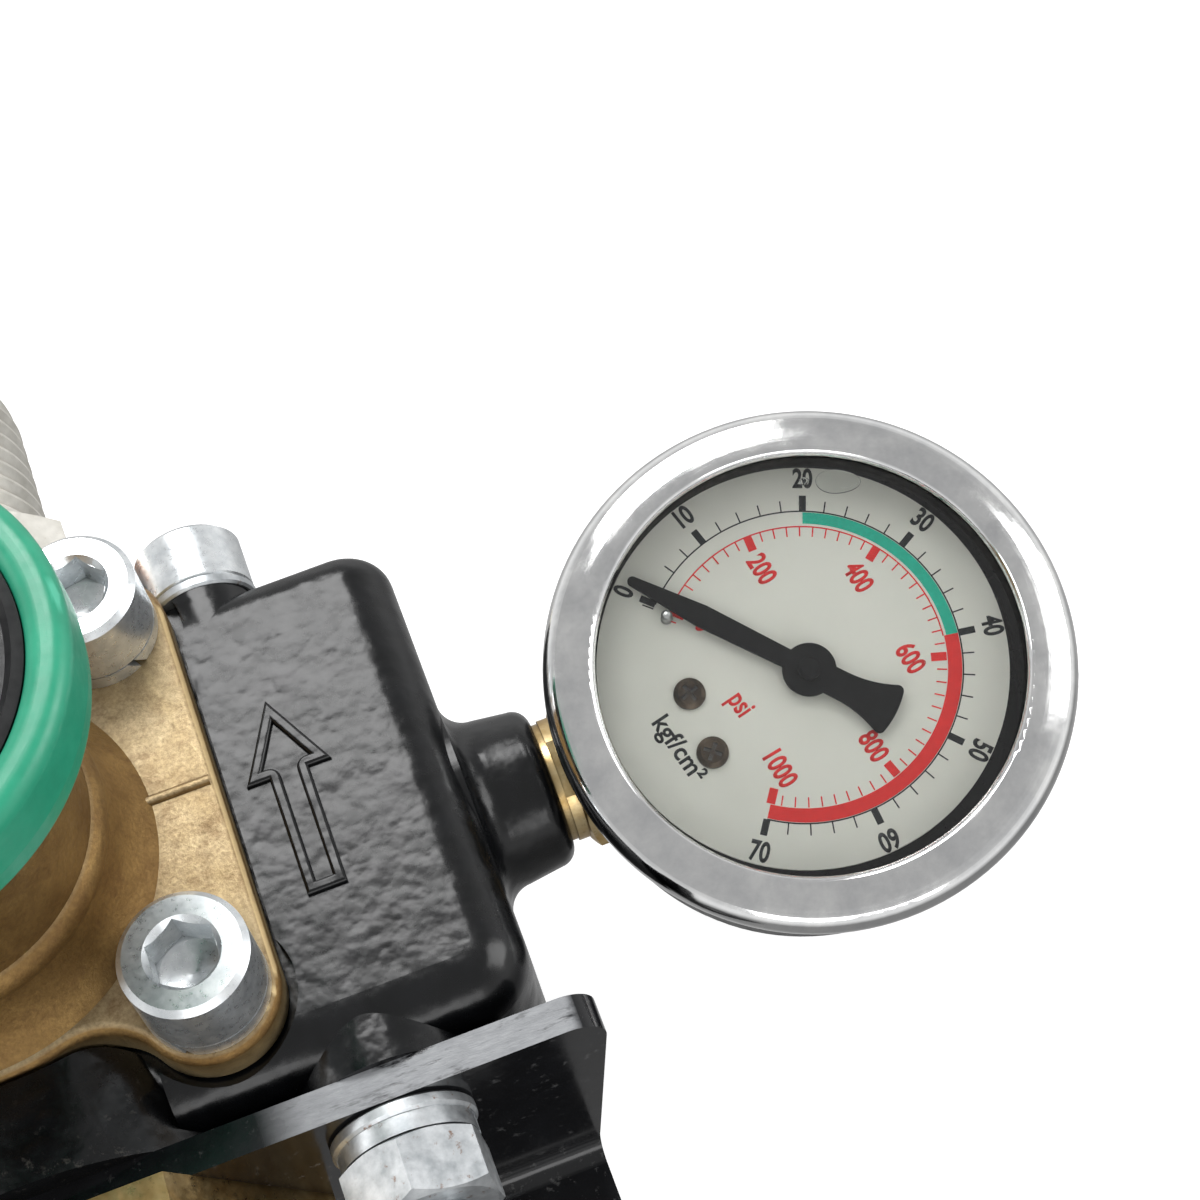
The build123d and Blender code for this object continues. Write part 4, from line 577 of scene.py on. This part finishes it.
# ---------------------------------------------------------------- finishes of the CAD nodes
def paint_nodes():
    port = Vector((0, 0, (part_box("outlet_nipple")[0].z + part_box("outlet_nipple")[1].z) / 2))
    stem_low, stem_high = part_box("gauge_seal_washer")
    stem = (stem_low + stem_high) / 2
    upright = (0, 0, 1)
    brass_port = turned_metal("brass_port", port, (0, 1, 0), "#E0C48E", "#B89258", 0.30)
    brass_stem = turned_metal("brass_stem", stem, (1, 0, 0), "#EAD6A8", "#C3A268", 0.32)
    brass_inner = turned_metal("brass_inner", (0, 0, 0), upright, "#D2B173", "#A8824A", 0.30)
    zinc = zinc_plate()
    old_zinc = zinc_plate("zinc_worn", "#D6D9DB", "#A2A7AA", rust=0.8, rough=0.30)
    steel_inner = turned_metal("steel_inner", (0, 0, 0), upright, "#D6D6D4", "#A5A6A6", 0.22,
                               tarnish="#5A5B5C")
    black_case = dark_plastic("case_black", "#101113", "#1B1C1E", 0.30)
    seals = rubber()
    red_copper = copper()
    finishes = {
        black_paint(): ["valve_body"],
        cast_bronze(): ["bonnet"],
        fibre(): ["bonnet_gasket"],
        zinc: ["bonnet_screws", "bonnet_spring_washers", "rear_screws", "spindle", "lock_nut", "knob_nut",
               "knob_washer", "upper_spring_seat"],
        old_zinc: ["bracket_nuts", "bracket_studs", "bracket_flat_washers", "bracket_spring_washers",
                   "rear_washers"],
        zinc_plate("dark_bronze", "#5E5142", "#2F2821", rough=0.34): ["dial_screws"],
        steel_inner: ["piston", "poppet", "valve_seat", "inlet_strainer"],
        brass_inner: ["piston_guide", "bottom_plug", "pinion_arbor", "sector_gear", "back_movement_plate",
                      "front_movement_plate", "movement_pillars", "bourdon_tube", "link"],
        seals: ["guide_o_ring", "piston_o_ring", "poppet_seal", "bottom_plug_o_ring", "gauge_lens_gasket",
                "fill_plug"],
        red_copper: ["outlet_seal", "side_port_seal"],
        dark_plastic(): ["knob_core"],
        green_plastic(): ["knob_grip"],
        satin_nickel(): ["outlet_nipple"],
        brass_port: ["inlet_adaptor"],
        brass_stem: ["gauge_socket", "gauge_seal_washer", "side_port_plug"],
        bracket_paint(): ["bracket"],
        black_case: ["gauge_case"],
        dark_plastic("pointer_black", "#050506", "#0C0C0D", 0.60, gloss=0.15): ["pointer"],
        polished_bezel(GAUGE_CENTRE, GAUGE_AXIS): ["gauge_bezel"],
        zinc_plate("stop_pin", "#D9DAD8", "#A5A6A6"): ["stop_pin"],
        clear_lens(): ["gauge_lens"],
        dial_white(): ["gauge_dial"],
    }
    for material, names in finishes.items():
        for name in names:
            mesh = NODES[name].data
            mesh.materials.clear()
            mesh.materials.append(material)
            shade_by_angle(mesh)


# ---------------------------------------------------------------- coil springs
def coil_spring(node, material):
    """A smooth-shaded copy of a coil spring node, shown in place of the rigid one."""
    mesh = NODES[node].data.copy()
    made = new_object(node + "_coils", mesh, material, "valve")
    shade_by_angle(mesh)
    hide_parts(node)
    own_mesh(made)


# ---------------------------------------------------------------- stage, light and camera
def floor():
    mesh = bpy.data.meshes.new("floor")
    corners = [(x * FLOOR_HALF, y * FLOOR_HALF, 0) for x, y in ((-1, -1), (1, -1), (1, 1), (-1, 1))]
    mesh.from_pydata(corners, [], [(0, 1, 2, 3)])
    made = bpy.data.objects.new("floor", mesh)
    SCENE.collection.objects.link(made)
    made.location.z = CAD_BOX[0].z - FLOOR_GAP
    made.visible_glossy = False
    made.visible_diffuse = False
    g = Graph("floor_paper", Specular_IOR_Level=0.0, Emission_Color=(1, 1, 1, 1), Emission_Strength=0.86)
    base = g.mix(g.noise(60.0, 2.0), "#B8B8B8", "#BCBCBC")
    mesh.materials.append(g.finish(base, g.ramp(g.noise(30.0, 2.0), 0.3, 0.7, 0.85, 0.95)))


def softbox(name, place, target, width, height, power):
    data = bpy.data.lights.new(name, "AREA")
    data.shape = "RECTANGLE"
    data.size = width
    data.size_y = height
    data.energy = power
    made = bpy.data.objects.new(name, data)
    SCENE.collection.objects.link(made)
    made.location = place
    made.rotation_euler = (Vector(target) - Vector(place)).to_track_quat("-Z", "Y").to_euler()


def studio_world():
    """Soft surroundings: brightest at the horizon, dim overhead and dark below in front."""
    world = bpy.data.worlds.new("studio")
    world.use_nodes = True
    tree = world.node_tree

    def ramp(value, low, high, start, end):
        made = tree.nodes.new("ShaderNodeMapRange")
        for number, socket in zip((value, low, high, start, end), made.inputs[:5]):
            if isinstance(number, bpy.types.NodeSocket):
                tree.links.new(number, socket)
            else:
                socket.default_value = number
        return made.outputs["Result"]

    split = tree.nodes.new("ShaderNodeSeparateXYZ")
    tree.links.new(tree.nodes.new("ShaderNodeTexCoord").outputs["Generated"], split.inputs["Vector"])
    below = ramp(split.outputs["Y"], -0.3, 0.3, 0.26, 0.50)
    above = ramp(split.outputs["Z"], 0.15, 0.65, 0.95, 0.50)
    strength = ramp(split.outputs["Z"], -0.35, -0.02, below, above)
    tree.links.new(strength, tree.nodes["Background"].inputs["Strength"])
    tree.nodes["Background"].inputs["Color"].default_value = (1, 1, 1, 1)
    SCENE.world = world


def light_the_scene():
    studio_world()
    aim = (0.04, 0, 0.04)
    softbox("key", (0.08, 0.66, 0.92), aim, 0.60, 0.48, 8.0)
    softbox("left", (-0.75, 0.1, 0.60), aim, 0.45, 0.45, 2.5)
    softbox("side", (0.85, -0.1, 0.50), aim, 0.5, 0.5, 3.0)
    softbox("front", (0.0, -0.95, 0.40), aim, 0.8, 0.3, 2.0)
    SCENE.view_settings.view_transform = "Standard"
    SCENE.view_settings.look = "None"


def camera():
    """Stands at the photograph's viewing angle: turned, tipped down and rolled."""
    data = bpy.data.cameras.new("camera")
    data.sensor_width = SENSOR_WIDTH
    data.lens = FOCAL_LENGTH
    made = bpy.data.objects.new("camera", data)
    SCENE.collection.objects.link(made)
    turn = Matrix.Rotation(math.radians(CAMERA_AZIMUTH), 4, "Z")
    tip = Matrix.Rotation(math.radians(90 - CAMERA_ELEVATION), 4, "X")
    lean = Matrix.Rotation(math.radians(CAMERA_ROLL), 4, "Z")
    made.matrix_world = Matrix.Translation(CAMERA_PLACE) @ turn @ tip @ lean
    SCENE.camera = made


camera()
light_the_scene()
floor()
paint_nodes()
print_dial()
steel_wire = spring_steel()
coil_spring("regulating_spring", steel_wire)
coil_spring("poppet_spring", steel_wire)
air_bubble("large_bubble", 12.4, 21.6, 5.6, 3.4, -18)
air_bubble("small_bubble", 8.4, 23.2, 1.2, 1.1, 0)
